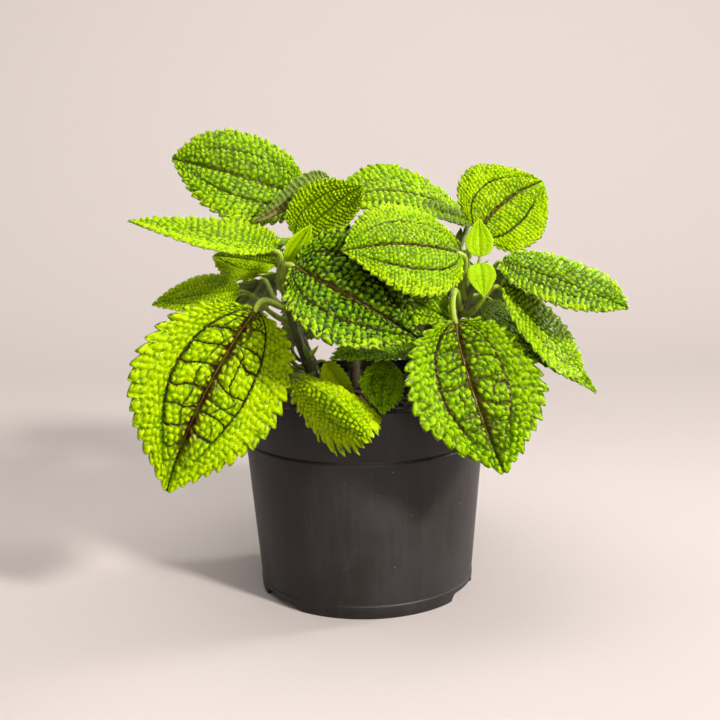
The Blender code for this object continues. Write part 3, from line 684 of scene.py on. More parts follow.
# %% Soil finish
PEAT = (0.012, 0.0075, 0.005)
BARK_DARK = (0.035, 0.018, 0.01)
BARK_LIGHT = (0.22, 0.085, 0.04)


def shaded(colour, factor):
    """A colour made darker or lighter by a factor."""
    return tuple(factor * value for value in colour)


def soil_material(name, dark, light, scale):
    """Peat or bark: two browns by noise of one scale, with fine fibres as relief."""
    made, hand = new_material(name)
    fine = hand.mottle(2200, 0.3, 0.75, (1, 1, 0.4))
    colour = hand.mix(hand.mottle(scale, 0.35, 0.7), dark, light)
    colour = hand.mix(hand.times(fine, 0.6), colour, shaded(dark, 1.9))
    normal = hand.bump(fine, 0.0003, 0.8)
    finish(hand, {"Base Color": colour, "Roughness": 0.9, "Normal": normal})
    return made


peat = soil_material("peat", PEAT, BARK_DARK, 260)
bark = soil_material("bark", BARK_DARK, BARK_LIGHT, 130)
ground = new_piece(
    "soil_ground", ground_points.reshape(-1, 3),
    [grid_faces(len(ground_points), SOIL_SPOKES, around=True)], [peat])
loose_bark = new_piece("soil_bark", chips.reshape(-1, 3), [chip_faces], [bark])
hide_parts("soil")
for piece in (ground, loose_bark):
    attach(piece, "root")
print("soil triangles:", triangles(ground) + triangles(loose_bark))

# %% [markdown]
# ## The leaf's sheet
# A leaf is a flat plan laid on a bent sheet. The sheet has an arched midrib, from which each half
# rises and then curls down, and the plan is a margin with teeth. The same few numbers for each leaf
# that place its solid in the frame place its finer skin here.

# %% Bent sheet
ARCH_POWER = 1.3
MIDRIB_SAMPLES = 48
MARGIN_SAMPLES = 240
WIDEST = 0.4
TIP_POWER = 1.45
LOBE = 0.03
VEIN_SLANT = 1.25


class Blade:
    """The bent sheet of one leaf.

    The midrib runs from base to tip and turns through `arch` degrees, more towards the tip. Each
    half leaves it at `fold` degrees above level and curls by `cup` degrees more out to the margin.
    `face` is roughly where the upper side looks, and `sweep` bows the midrib sideways in the sheet.
    """

    def __init__(self, base, tip, face, width, arch=20, fold=6, cup=-12, sweep=0,
                 widest=WIDEST, point=TIP_POWER):
        self.base, self.width, self.sweep = np.array(base, float), width, sweep
        self.widest, self.point = widest, point
        self.fold, self.cup = math.radians(fold), math.radians(cup)
        chord = np.array(tip, float) - self.base
        along = unit(chord)
        up = unit(np.array(face, float) - along * along.dot(face))
        self.across = np.cross(up, along)
        self.s = np.linspace(0, 1, MIDRIB_SAMPLES)
        angle = -math.radians(arch) * self.s**ARCH_POWER
        heading = np.stack([np.cos(angle), np.sin(angle)], 1)
        steps = np.diff(self.s)[:, None] * (heading[:-1] + heading[1:]) / 2
        flat = np.vstack([(0, 0), np.cumsum(steps, axis=0)])
        reach = np.hypot(*flat[-1])
        tilt = -math.atan2(flat[-1][1], flat[-1][0])
        turn = np.array([(math.cos(tilt), -math.sin(tilt)), (math.sin(tilt), math.cos(tilt))])
        flat = flat @ turn.T * np.linalg.norm(chord) / reach
        self.length = np.linalg.norm(chord) / reach
        self.rib = self.base + flat[:, :1] * along + flat[:, 1:] * up
        self.tangent = np.cos(angle + tilt)[:, None] * along + np.sin(angle + tilt)[:, None] * up
        self.normal = np.cross(self.tangent[0], self.across)

    def at(self, x, y, lift):
        """Where the plan point (x, y) lies, raised by lift square to the sheet.

        The point slides x along the midrib, then y along an arc that starts at the fold and curls
        evenly, and last by lift along the sheet's normal there.
        """
        s = np.clip(x / self.length, 0, 1)
        rib = np.stack([np.interp(s, self.s, self.rib[:, k]) for k in range(3)], -1)
        tangent = unit(np.stack([np.interp(s, self.s, self.tangent[:, k]) for k in range(3)], -1))
        rib = rib + tangent * (x - s * self.length)[..., None]
        up = np.cross(tangent, self.across)
        curl = self.cup / (self.width / 2)
        slope = self.fold + curl * np.abs(y)
        out = (np.sin(slope) - math.sin(self.fold)) / curl * np.sign(y)
        high = (math.cos(self.fold) - np.cos(slope)) / curl
        normal = up * np.cos(slope)[..., None] - self.across * (np.sin(slope) * np.sign(y))[..., None]
        sideways = out + 4 * self.sweep * s * (1 - s)
        return rib + self.across * sideways[..., None] + up * high[..., None] + normal * lift[..., None]


def margin(blade):
    """One half's margin: places along it from 0 to 1, then x and y, evenly spaced.

    Up to the widest place it is a quarter of an ellipse, whose root end reaches back past the
    stalk as a small lobe. From there it narrows by a power of the distance to a pointed tip.
    """
    p = np.linspace(0, 1, MARGIN_SAMPLES)
    x = np.sin(np.pi * p / 2) ** 2
    root = np.clip(1 - x / blade.widest, 0, 1)
    rest = np.clip((x - blade.widest) / (1 - blade.widest), 0, 1)
    y = np.where(x < blade.widest, (1 - root**2) ** 0.5, 1 - rest**blade.point) * blade.width / 2
    x = (x - LOBE * np.sin(np.pi * np.clip(x / blade.widest, 0, 1))) * blade.length
    run = np.concatenate([(0,), np.cumsum(np.hypot(np.diff(x), np.diff(y)))])
    even = np.linspace(0, run[-1], MARGIN_SAMPLES)
    return even / run[-1], np.interp(even, run, x), np.interp(even, run, y)


trial = Blade((0, 0, 0), (50, 0, 0), (0, 0, 1), 30)
print("midrib of a leaf that is 50 mm from base to tip, in mm:", round(float(trial.length), 2))

# %% [markdown]
# ## Teeth, quilt and veins
# The margin is cut into forward teeth, each a long round back that ends in a hooked point. A midrib
# and two lateral veins run up the leaf, rungs join them like a ladder, and thinner veins split the
# panels between the rungs. Everywhere else the sheet swells into bumps of all sizes. A displacement
# texture gives such bumps too, but they have to follow the veins, so the cells are worked out here
# on a lattice that bends with the leaf: `row` counts along it and `column` counts outwards.

# %% Leaf plan
TOOTH_TIP = 0.7
TOOTH_LEAN = 0.7
TOOTH_SHARE = 0.034
TOOTH_LEAST = 0.12
TOOTH_REACH = 0.78
LATERAL = 0.52
ROWS_PER_TOOTH = 2
ROWS_PER_RUNG = 3.1


def tooth_shape(phase):
    """0 at a notch, up a long round back to 1 at the point, then steeply down a short front."""
    back = np.sin(np.pi / 2 * np.clip(phase / TOOTH_TIP, 0, 1)) ** 0.9
    front = np.clip((1 - phase) / (1 - TOOTH_TIP), 0, 1) ** 0.8
    return np.where(phase < TOOTH_TIP, back, front)


def draw_teeth(teeth, cuts, seed):
    """Each tooth's own size on either side, repeated for the grid rows in it."""
    sizes = np.random.default_rng(seed).uniform(0.75, 1.25, (teeth, 2))
    return np.vstack([np.repeat(sizes, cuts, axis=0), sizes[-1:]])


def leaf_plan(blade, teeth, cuts, columns, seed, bite):
    """The plan's grid, from the base row to the tip row and from one margin to the other.

    cuts is the number of grid rows in a tooth, and bite multiplies how far the teeth stand out. The
    result is x, y, the share of the way from the midrib to the margin, the place q along the margin
    and the half width of each row.
    """
    places, margin_x, margin_y = margin(blade)
    q = np.linspace(0, 1, teeth * cuts + 1)
    mx, my = np.interp(q, places, margin_x), np.interp(q, places, margin_y)
    rib = np.clip(mx / blade.length, 0, 1) ** VEIN_SLANT * blade.length
    rib[0], rib[-1] = 0, blade.length
    dx, dy = np.gradient(mx), np.gradient(my)
    dx, dy = dx / np.hypot(dx, dy), dy / np.hypot(dx, dy)
    side = np.concatenate([-np.ones(columns), [0], np.ones(columns)])
    share = np.abs(np.linspace(-1, 1, 2 * columns + 1))
    sizes = draw_teeth(teeth, cuts, seed)[:, np.where(side < 0, 0, 1)]
    tall = (TOOTH_SHARE * blade.width + TOOTH_LEAST) * np.clip(0.45 + 0.8 * np.sin(np.pi * q), 0, 1)
    tall = bite * tall * tooth_shape((q * teeth) % 1) * (q < 1)
    reach = tall[:, None] * sizes * ease(share, TOOTH_REACH, 1)
    lean = TOOTH_LEAN * reach
    x = rib[:, None] + (mx - rib)[:, None] * share + lean * dx[:, None] - reach * dy[:, None]
    y = my[:, None] * share + lean * dy[:, None] + reach * dx[:, None]
    half = np.hypot(mx - rib, my)
    return x, side * y, share, q, half


TRIAL_TEETH = 14
trial_plan = leaf_plan(trial, TRIAL_TEETH, 6, 8, 0, 1)
print("width with teeth of a leaf 30 mm wide, in mm:", round(float(np.ptp(trial_plan[1])), 1))

# %% Cells
CELL_JITTER = 0.34


def cells(row, column, seed):
    """An uneven lattice: how far inside its cell each place is, and a random value for the cell.

    Each lattice square holds one centre that is moved at random, and every second row is moved by
    half a square. A place belongs to its nearest centre. Where the two nearest centres are equally
    far the cells meet, so the difference of the two distances is 0 there and grows inwards.
    """
    chance = np.random.default_rng(seed)
    moved = chance.uniform(-CELL_JITTER, CELL_JITTER, (64, 64, 2))
    value = chance.uniform(0, 1, (64, 64))
    away, own = [], []
    for i in (-1, 0, 1):
        for j in (-1, 0, 1):
            r = np.floor(row).astype(int) + i
            c = np.floor(column).astype(int) + j
            centre_row = r + 0.5 + moved[r % 64, c % 64, 0]
            centre_column = c + 0.5 * (r % 2) + 0.25 + moved[r % 64, c % 64, 1]
            away.append(np.hypot(centre_row - row, centre_column - column))
            own.append(value[r % 64, c % 64])
    order = np.argsort(away, axis=0)
    first, second = np.take_along_axis(np.array(away), order[:2], axis=0)
    return second - first, np.take_along_axis(np.array(own), order[:1], axis=0)[0]


sample, _ = cells(*np.mgrid[0:8:0.1, 0:8:0.1], 1)
print("share of the lattice within 0.1 of a cell's border:", round(float((sample < 0.1).mean()), 2))

# %% Veins
# How deep each kind of vein is, as a share of the midrib, and how wide, in bump widths.
MIDRIB_WIDTH = 0.36
LATERAL_DEPTH, LATERAL_WIDTH = 0.85, 0.3
RUNG_DEPTH, RUNG_WIDTH = 0.75, 0.28
PANEL_DEPTH, PANEL_WIDTH = 0.6, 0.26
ROW_DEPTH, ROW_WIDTH = 0.5, 0.2
NOTCH_VEIN_DEPTH, NOTCH_VEIN_WIDTH = 0.4, 0.12


def groove(distance, half_width):
    """A smooth trough that is 1 deep in its middle."""
    return np.exp(-((distance / half_width) ** 2))


def vein_fields(y, share, q, half, cell, row, seed):
    """Signed distances to the veins in bump widths, and how strong each panel's thin vein is.

    The laterals start close to the midrib. The rungs of the two halves alternate, and each panel's
    thin vein keeps its own distance from the midrib, so that together they run in a zigzag. row
    counts rows of ordinary bumps along the leaf.
    """
    side = np.where(y < 0, 1.0, 0.0)
    inside = half[:, None] * share / cell
    lateral = (LATERAL * (0.6 + 0.4 * ease(q, 0, 0.4)) * half / cell)[:, None]
    # The factor on side gives each half of the leaf its own noise.
    rung = row / ROWS_PER_RUNG + 0.5 * side + 0.3 * drift(row, 9 * side, 3, seed + 2)
    rung = rung + 0.16 * drift(inside + 20 * side, rung, 1.3, seed + 7)
    between = inside - (0.5 + 0.3 * drift(rung, side * 7, 0.8, seed + 3)) * lateral
    strength = ease(drift(rung, side * 7, 1, seed + 4), -1.1, -0.5)
    return inside, inside - lateral, rung, between, strength


print("a trough's depth one half width from its middle:", round(float(groove(1.0, 1.0)), 2))

# %% Leaf relief
BUMP_SHARE = 0.038
BUMP_LEAST = 0.38
BUMP_HEIGHT = 0.56
QUILT_SHARES = (0, 0.28, 0.55, 0.8, 1)
QUILT_HEIGHTS = (-0.6, 0.5, -0.3, 0.35, 0)
QUILT_WIDTH = 50.0
TROUGH_DEPTH = 0.3
PILLOW_HEIGHT = 0.24
THICKNESS = 0.5
UNDER_BUMPS = 0.6


def leaf_relief(blade, plan, teeth, seed, ladder, swell, under):
    """One side's height over the bent sheet, with the marks that the finish reads.

    The height is the quilt, a pillow between two rungs and the bumps. The veins are troughs in the
    upper side, and beneath them the lower side stands out. The thickness fades to nothing at the
    margin, so that the two sides meet there. swell multiplies the size of the bumps, and small
    leaves have flatter ones.
    """
    x, y, share, q, half = plan
    cell = swell * (BUMP_SHARE * blade.width + BUMP_LEAST)
    rows = teeth * ROWS_PER_TOOTH / swell
    row = q[:, None] * rows + 0.2 * drift(x, y, 3 * cell, seed)
    inside, beside, rung, between, strength = vein_fields(y, share, q, half, cell, row * swell, seed)
    column = np.sign(y) * (inside + 0.25 * np.clip(beside, 0, None))
    gap, own = cells(row + 0.15 * drift(x, y, 2 * cell, seed + 5), column, seed)
    pitch = np.hypot(np.gradient(x, axis=0), np.gradient(y, axis=0)) * len(q) / rows
    room = ease(pitch / cell, 0.2, 0.7)
    along = np.clip(x / blade.length, 0, 1)
    ends = np.clip(3 * np.sin(np.pi * along), 0, 1)
    off_rung = np.abs((rung + 0.5) % 1 - 0.5) * ROWS_PER_RUNG / swell
    inner = ease(beside, 0.2, -0.1)
    clear = 0.3 + 0.7 * ladder
    # line is how deep in a vein's trough a place lies: the deepest of all the kinds of vein there.
    line = groove(inside, MIDRIB_WIDTH)
    line = np.maximum(line, LATERAL_DEPTH * groove(beside, LATERAL_WIDTH) * ease(along, 0.95, 0.7))
    line = np.maximum(line, RUNG_DEPTH * clear * groove(off_rung, RUNG_WIDTH) * inner * room)
    thin = clear * groove(between, PANEL_WIDTH) * strength * inner * room
    line = np.maximum(line, PANEL_DEPTH * thin)
    between_rows = (row + 0.5) % 1 - 0.5
    line = np.maximum(line, ROW_DEPTH * (1 - ladder) * groove(between_rows, ROW_WIDTH) * room)
    notch = np.abs((q[:, None] * teeth + 0.5) % 1 - 0.5)
    notch_line = NOTCH_VEIN_DEPTH * groove(notch, NOTCH_VEIN_WIDTH)
    line = np.maximum(line, notch_line * ease(share, 0.82, 0.95))
    line = line * ease(blade.width, 3, 26)
    # dome is how high up its bump a place counts as in the colours, which paint shade into its low
    # places, and peak is the bump's true form.
    dome = np.tanh(2.3 * gap) * (1 - 0.85 * line)
    dome = 1 - (1 - dome) * ease(blade.width, 5, 32)
    peak = np.clip(gap / 0.85, 0, 1)
    peak = peak * (1.7 - 0.7 * peak) * (1 - 0.85 * line)
    height = peak * (0.7 + 0.6 * own) * BUMP_HEIGHT * cell * room * ease(blade.width, 4, 34)
    height = height * (1 + 0.3 * ease(share, 0.55, 0.9)) * ease(share, 1.03, 0.95)
    height = height * (0.4 + 0.6 * ease(inside, 0.3, 1.8))
    quilt = np.interp(share, QUILT_SHARES, QUILT_HEIGHTS) * blade.width / QUILT_WIDTH
    pillow = PILLOW_HEIGHT * ladder * cell * ease(off_rung, 0, 0.9) * inner * ease(inside, 0, 0.8)
    troughs = TROUGH_DEPTH * line * cell * ends
    edge = np.sqrt(1 - share**6) * ease(half, 0, 1.5)[:, None]
    if under:
        lift = (quilt + pillow) * ends + UNDER_BUMPS * height - (1.3 * troughs + THICKNESS / 2) * edge
        lift = lift + (1 - UNDER_BUMPS) * height * ease(share, 0.9, 1)
    else:
        lift = (quilt + pillow) * ends + height - (troughs - THICKNESS / 2) * edge
    marks = {
        "net": np.stack([dome * (0.85 + 0.3 * own), ladder + 0 * row, share + 0 * row], -1),
        "veins": np.stack([inside, beside, along], -1),
        "rungs": np.stack([rung, between, strength * ladder], -1),
    }
    return lift, marks


trial_lift, _ = leaf_relief(trial, trial_plan, TRIAL_TEETH, 0, 1, 1, False)
print("its relief runs from", trial_lift.min().round(2), "to", trial_lift.max().round(2), "mm")

# %% [markdown]
# ## The plant's habit
# Seven stems stand in the soil, and each leaf hangs from one of them by its stalk. The numbers are
# those of the solids, and the finish needs a few more: tone, from 0 for young and lime green to 1 for
# old and dark, stain, for how red-brown the veins are, rim, for how yellow the margin is, ladder, for
# how far the rungs stand out from the rows of bumps, bite, for longer teeth, swell, for larger bumps,
# and near, which is True for a leaf that gets the finest mesh. Leaves low down or tucked in the shade
# of others get a darker tone, which for them is partly painted shade. A plain leaf's values are
# written once, and a leaf's row says only what is its own.

# %% Stems of the plant
STEM_SEAT = 78.3
STEM_FOOT_RADIUS = 2.8
STEM_TIP_RADIUS = 1.8

# Each stem: its foot in the soil, the point it leans towards, its tip, and the small leaves at the
# tip as (compass degrees from the front, degrees above level, length, width).
STEMS = {
    "stem_left": dict(
        foot=(-22, -18), lean=(-34, -24, 128), tip=(-35, -31, 158),
        buds=((-52, 12, 13, 8), (100, 60, 7, 4), (190, 50, 7, 4))),
    "stem_right": dict(
        foot=(20, -14), lean=(44, -16, 122), tip=(54, -21, 158),
        buds=((90, 50, 6, 3), (-90, 50, 6, 3))),
    "stem_middle": dict(
        foot=(-4, 6), lean=(-10, 6, 140), tip=(-17, 11, 182), buds=((0, 60, 7, 4), (180, 50, 9, 5))),
    "stem_back_right": dict(
        foot=(24, 18), lean=(40, 30, 128), tip=(50, 44, 162), buds=((165, 60, 9, 5), (-80, 60, 8, 5))),
    "stem_back_left": dict(
        foot=(-24, 20), lean=(-38, 40, 120), tip=(-42, 56, 150),
        buds=((200, 55, 11, 7), (20, 60, 10, 6))),
    "stem_back": dict(
        foot=(2, 34), lean=(4, 60, 122), tip=(6, 70, 154), buds=((150, 55, 12, 7), (-40, 60, 10, 6))),
    "stem_front": dict(
        foot=(-14, -28), lean=(-22, -30, 106), tip=(-25, -33, 120),
        buds=((-20, 60, 8, 4), (120, 50, 7, 4))),
}

print("stems:", len(STEMS))

# %% Leaves of the plant
PLAIN_LEAF = dict(tone=0, stain=0, rim=0, ladder=0, bite=1, swell=1, near=True)
BACK = dict(tone=0.45, stain=0.7, rim=0.2, ladder=0.6, near=False)
BACK_YOUNG = dict(tone=0.45, stain=0.4, rim=0.2, ladder=0.2, near=False)
# Low leaves sit in the shade of the others, and their dark tone is partly painted shade.
LOW = dict(tone=0.8, stain=0.3, rim=0, ladder=0.2, near=False)

# Each leaf: the stem that carries it and how far up, a point that its stalk goes by where it has to
# bend round another leaf, then where its blade begins and ends, where its upper side looks, and its
# width.
LEAVES = {
    "leaf_left_large_front": dict(
        stem="stem_left", up=0.84, base=(-46, -61, 147), tip=(-86, -75, 71), face=(0.44, -0.89, 0.12),
        width=68, arch=12, fold=-3.5, cup=7, sweep=-4.4, widest=0.49, teeth=19, tone=0.1, stain=1,
        rim=0.15, ladder=1, swell=1.05),
    "leaf_left_centre": dict(
        stem="stem_left", up=0.88, base=(-29, -59, 166), tip=(24, -60, 133), face=(0.18, -0.69, 0.71),
        width=63, arch=14, fold=9, cup=2, widest=0.42, teeth=17, tone=1, stain=1, rim=0.4, ladder=0.1,
        bite=1.1, swell=1.15),
    "leaf_left_outer": dict(
        stem="stem_left", up=0.93, by=(-40, -40, 160), base=(-38, -43, 171), tip=(-104, -33, 184),
        face=(0.11, -0.17, 0.98), width=48, arch=-5.5, fold=5.5, cup=-3, sweep=-3.5, widest=0.34,
        teeth=17, tone=0.4, stain=0.15, rim=0.2, ladder=0.1, swell=1.15),
    "leaf_left_small_facing": dict(
        stem="stem_left", up=0.9, base=(-29, -16, 173), tip=(1, -22, 197), face=(0.64, -0.77, -0.03),
        width=32, arch=-20, fold=-5, cup=-22, widest=0.43, point=2.2, teeth=14, tone=0.3, stain=0.5,
        rim=0.1, ladder=0.05),
    "leaf_left_under": dict(
        stem="stem_left", up=0.8, base=(-40, -8, 160), tip=(-72, 14, 162), face=(0, -0.6, 0.8),
        width=30, arch=10, teeth=14, tone=0.15, stain=0.1, rim=0.1, ladder=0.1),
    "leaf_left_low": dict(
        stem="stem_left", up=0.72, base=(-57, -20, 150), tip=(-97, -22, 144), face=(-0.1, -0.5, 0.85),
        width=28, arch=14, teeth=15, tone=0.1, stain=0.1, ladder=0.1),
    "leaf_left_young": dict(
        stem="stem_left", up=0.95, base=(-33, -36, 165), tip=(-22, -33, 181), face=(0.3, -1, 0.2),
        width=13, arch=-10, fold=35, cup=10, teeth=13, tone=0.55, stain=0.6, rim=0.3),
    "leaf_middle_top_left": dict(
        stem="stem_middle", up=0.93, base=(-29, 20, 190), tip=(-89, 10, 209), face=(-0.13, -0.65, 0.75),
        width=56, arch=36, fold=11.5, cup=-24, sweep=3.3, widest=0.5, point=2.2, teeth=19, tone=0.72,
        stain=0.7, rim=0.4, ladder=0.2, swell=1.2),
    "leaf_middle_folded": dict(
        stem="stem_middle", up=0.98, base=(-14, -2, 198), tip=(-49, -18, 181), face=(-0.45, 0.42, 0.78),
        width=26, arch=-16, fold=20, cup=10, teeth=13, tone=0.9, stain=1, rim=0.1, ladder=0.1, bite=0.8,
        swell=1.3),
    "leaf_right_centre": dict(
        stem="stem_right", up=0.86, by=(45, -29, 159), base=(43, -40, 168), tip=(-8, -62, 172),
        face=(0.08, -0.72, 0.69), width=51, arch=26, fold=3, cup=-26, sweep=-2.2, widest=0.44,
        point=1.95, teeth=20, tone=0.55, stain=1, rim=0.5, ladder=0.15, bite=0.7),
    "leaf_right_top": dict(
        stem="stem_right", up=0.9, base=(55, -5, 173), tip=(88, 15, 195), face=(0.13, -0.85, 0.51),
        width=48, arch=19, fold=1.5, cup=-20, sweep=3.3, widest=0.48, point=1.75, teeth=20, tone=0.25,
        stain=1, rim=0.1, ladder=0.4, bite=0.6, swell=1.1),
    "leaf_right_outer": dict(
        stem="stem_right", up=0.86, base=(65, -20, 161), tip=(119, -40, 141), face=(0.26, -0.38, 0.89),
        width=45, arch=13, fold=5.5, cup=-12.5, sweep=-0.6, widest=0.52, point=2.3, teeth=18, tone=0.8,
        stain=1, rim=0.5, ladder=0.15, swell=1.2),
    "leaf_right_hanging": dict(
        stem="stem_right", up=0.78, base=(63, -34, 151), tip=(101, -28, 109), face=(0.85, -0.34, 0.41),
        width=43, arch=17, fold=10, cup=-17, sweep=-4.9, widest=0.52, point=2.3, teeth=15, tone=0.5,
        stain=0.7, rim=0.1, ladder=0.2, bite=1.6, swell=1.1),
    "leaf_right_under": dict(
        stem="stem_right", up=0.6, base=(56, -14, 139), tip=(110, -18, 97), face=(0.5, -0.4, 0.75),
        width=34, arch=20, teeth=15, tone=0.7, stain=0.2, ladder=0.2),
    "leaf_right_large_front": dict(
        stem="stem_right", up=0.8, by=(42, -42, 160), base=(41, -54, 139), tip=(59, -83, 79),
        face=(0.45, -0.86, 0.23), width=65, arch=8, fold=2, cup=5, sweep=-2.5, widest=0.52, point=1.5,
        teeth=16, tone=0.72, stain=1, rim=0.1, ladder=0.8, bite=1.2, swell=1.15),
    "leaf_right_young_up": dict(
        stem="stem_right", up=0.95, base=(55, -16, 163), tip=(55, -11, 180), face=(0, -1, 0.3),
        width=13, arch=-14, fold=12, teeth=14, tone=0.55, rim=0.2, bite=0.6),
    "leaf_right_young_down": dict(
        stem="stem_right", up=0.95, base=(54, -27, 161), tip=(55, -37, 147), face=(0, -0.8, 0.6),
        width=13, arch=10, fold=12, teeth=14, tone=0.6, rim=0.2, bite=0.6),
    "leaf_back_right_top": dict(
        stem="stem_back_right", up=0.9, base=(54, 47, 176), tip=(-15, 20, 186),
        face=(-0.05, -0.44, 0.9), width=54, arch=54, fold=-10, cup=21, sweep=-2.9, widest=0.52,
        point=1.6, teeth=19, tone=0.55, stain=0.8, bite=0.7, swell=1.3),
    "leaf_back_right_inner": dict(
        stem="stem_back_right", up=0.8, base=(47, -4, 165), tip=(15, -9, 170), face=(0, -0.35, 0.93),
        width=34, arch=20, teeth=14, tone=0.7, stain=0.3, rim=0.1, ladder=0.2),
    "leaf_middle_right": dict(
        stem="stem_middle", up=0.6, base=(17, -34, 148), tip=(41, -50, 138), face=(0.2, -0.7, 0.65),
        width=26, arch=16, teeth=13, tone=0.6, stain=0.3, rim=0.4, ladder=0.1, swell=1.3),
    "leaf_front_under": dict(
        stem="stem_right", up=0.3, base=(22, -30, 126), tip=(-14, -48, 122), face=(0, -0.3, 0.95),
        width=26, arch=16, teeth=13, tone=0.75, stain=0.1, rim=0.1, ladder=0.1, bite=2.6),
    "leaf_front_over_rim": dict(
        stem="stem_front", up=0.8, base=(-30, -53, 116), tip=(2, -87, 97), face=(-0.05, -0.83, 0.55),
        width=40, arch=17, fold=-51, cup=-13, sweep=2.1, widest=0.52, point=1.75, teeth=12, bite=3.8,
        swell=1.1),
    "leaf_front_narrow": dict(
        stem="stem_front", up=0.9, base=(-17, -31, 117), tip=(-3, -36, 98), face=(-0.3, -0.9, 0.3),
        width=13, arch=8, fold=45, teeth=13, rim=0.1, bite=2.2, swell=1.3),
    "leaf_front_dark": dict(
        stem="stem_right", up=0.15, by=(16, -28, 112), base=(11, -37, 118), tip=(8, -65, 101),
        face=(0.17, -0.76, 0.63), width=20, arch=22, fold=-8, cup=-20, sweep=-1.3, widest=0.45,
        point=1.65, teeth=12, tone=0.75, stain=0.2, rim=0.1, ladder=0.1, bite=1.6, swell=1.4),
    "leaf_back_left_large": dict(
        BACK, stem="stem_back_left", up=0.8, base=(-54, 68, 142), tip=(-88, 92, 92),
        face=(-0.6, 0.5, 0.6), width=52, arch=16, teeth=16),
    "leaf_back_left_side": dict(
        BACK, stem="stem_back_left", up=0.66, base=(-62, 40, 138), tip=(-96, 34, 96),
        face=(-0.8, 0.1, 0.6), width=42, arch=18, teeth=16),
    "leaf_back_left_upper": dict(
        BACK_YOUNG, stem="stem_back_left", up=0.95, base=(-44, 68, 160), tip=(-52, 104, 158),
        face=(0, 0.2, 0.95), width=34, arch=22, teeth=15),
    "leaf_back_left_inner": dict(
        BACK_YOUNG, stem="stem_back_left", up=0.93, base=(-36, 44, 158), tip=(-24, 14, 164),
        face=(-0.1, -0.2, 0.95), width=26, arch=14, teeth=14),
    "leaf_back_large": dict(
        BACK, stem="stem_back", up=0.8, base=(14, 86, 142), tip=(30, 112, 82), face=(0.3, 0.85, 0.3),
        width=58, arch=14, teeth=17),
    "leaf_back_side": dict(
        BACK, stem="stem_back", up=0.72, base=(-11, 80, 138), tip=(-42, 98, 98), face=(-0.3, 0.75, 0.5),
        width=42, arch=18, teeth=16),
    "leaf_back_upper": dict(
        BACK, stem="stem_back", up=0.95, base=(12, 82, 162), tip=(30, 112, 150), face=(0.2, 0.4, 0.9),
        width=38, arch=24, teeth=15),
    "leaf_back_inner": dict(
        BACK_YOUNG, stem="stem_back", up=0.93, base=(0, 58, 162), tip=(-14, 28, 168),
        face=(0, -0.2, 0.95), width=28, arch=14, teeth=14),
    "leaf_back_right_large": dict(
        BACK, stem="stem_back_right", up=0.8, base=(60, 60, 148), tip=(80, 92, 96),
        face=(0.5, 0.7, 0.4), width=52, arch=16, teeth=16),
    "leaf_back_right_side": dict(
        BACK, stem="stem_back_right", up=0.7, base=(62, 32, 136), tip=(88, 30, 92),
        face=(0.85, 0.1, 0.5), width=40, arch=18, teeth=15),
    "leaf_back_right_upper": dict(
        BACK_YOUNG, stem="stem_back_right", up=0.97, base=(56, 56, 172), tip=(66, 86, 164),
        face=(0.2, 0.2, 0.95), width=32, arch=20, teeth=15),
    "leaf_low_left": dict(
        LOW, stem="stem_left", up=0.2, base=(-30, -28, 113), tip=(-45, -35, 103),
        face=(-0.2, -0.6, 0.8), width=20, arch=16, teeth=14),
    "leaf_low_left_side": dict(
        LOW, stem="stem_left", up=0.3, base=(-46, -8, 122), tip=(-72, -2, 106), face=(-0.5, -0.2, 0.85),
        width=28, arch=18, teeth=14),
    "leaf_low_back_left": dict(
        LOW, stem="stem_back_left", up=0.25, base=(-40, 30, 118), tip=(-68, 22, 108),
        face=(-0.3, 0, 0.95), width=26, arch=18, teeth=14),
    "leaf_low_right_side": dict(
        LOW, stem="stem_back_right", up=0.2, base=(46, 12, 118), tip=(74, 2, 106),
        face=(0.4, -0.1, 0.9), width=28, arch=18, teeth=14),
    "leaf_low_middle": dict(
        LOW, stem="stem_middle", up=0.4, base=(8, 14, 134), tip=(34, 12, 128), face=(0.1, -0.3, 0.95),
        width=26, arch=16, teeth=14),
    "leaf_low_back": dict(
        LOW, stem="stem_back", up=0.2, base=(14, 52, 116), tip=(38, 68, 104), face=(0.3, 0.4, 0.85),
        width=28, arch=18, teeth=14),
}

print("leaves:", len(LEAVES))

# %% [markdown]
# ## Leaf finish
# The upper side is lime green on top of each bump and deep green in the valleys between them, a
# deep green that is partly painted shade in the hollows. Old leaves are darker all over. Red-brown
# stain follows the veins, broad along the midrib, where it seeps into the valleys, thinner along the
# laterals and thinnest on the rungs. The lower side is pale and olive. A painted picture could carry
# all this, but each point already knows its distance to every vein and how high it stands on its
# bump, so those numbers colour it, crisp at any distance.
# The greens are as dark as a real leaf's, because the strong light makes up the rest, and the sheen
# is tinted yellow-green: a colourless one would lay a grey haze over them.

# %% Leaf colours
# The valley colours are partly the leaf's own deep green and partly painted shade in the hollows.
VALLEY_LIME_AND_SHADE, TOP_LIME = (0.065, 0.146, 0), (0.225, 0.312, 0)
VALLEY_OLD_AND_SHADE, TOP_OLD = (0.001, 0.005, 0), (0.104, 0.219, 0)
EDGE_YELLOW = (0.239, 0.316, 0.002)
TOOTH_BROWN = (0.127, 0.042, 0.013)
STAIN = (0.012, 0.003, 0.001)
MIDRIB_TAN = (0.136, 0.093, 0.017)
MIDRIB_STAIN, LATERAL_STAIN, RUNG_STAIN, PANEL_STAIN = 0.4, 0.23, 0.19, 0.17
SEEP_REACH = 2.3
TAN_WIDTH = 0.038
GLINT_TINT = (0.85, 1.0, 0.25)
# How far red, green and blue light travel inside a leaf, as shares of the subsurface scale.
LEAF_GLOW = (0.5, 1.0, 0.08)


def stripe(hand, distance, half_width):
    """1 on a line and 0 beyond its half width, from the signed distance to it."""
    away = hand.math("ABSOLUTE", distance)
    return hand.ease(away, half_width * 1.4, half_width * 0.5)


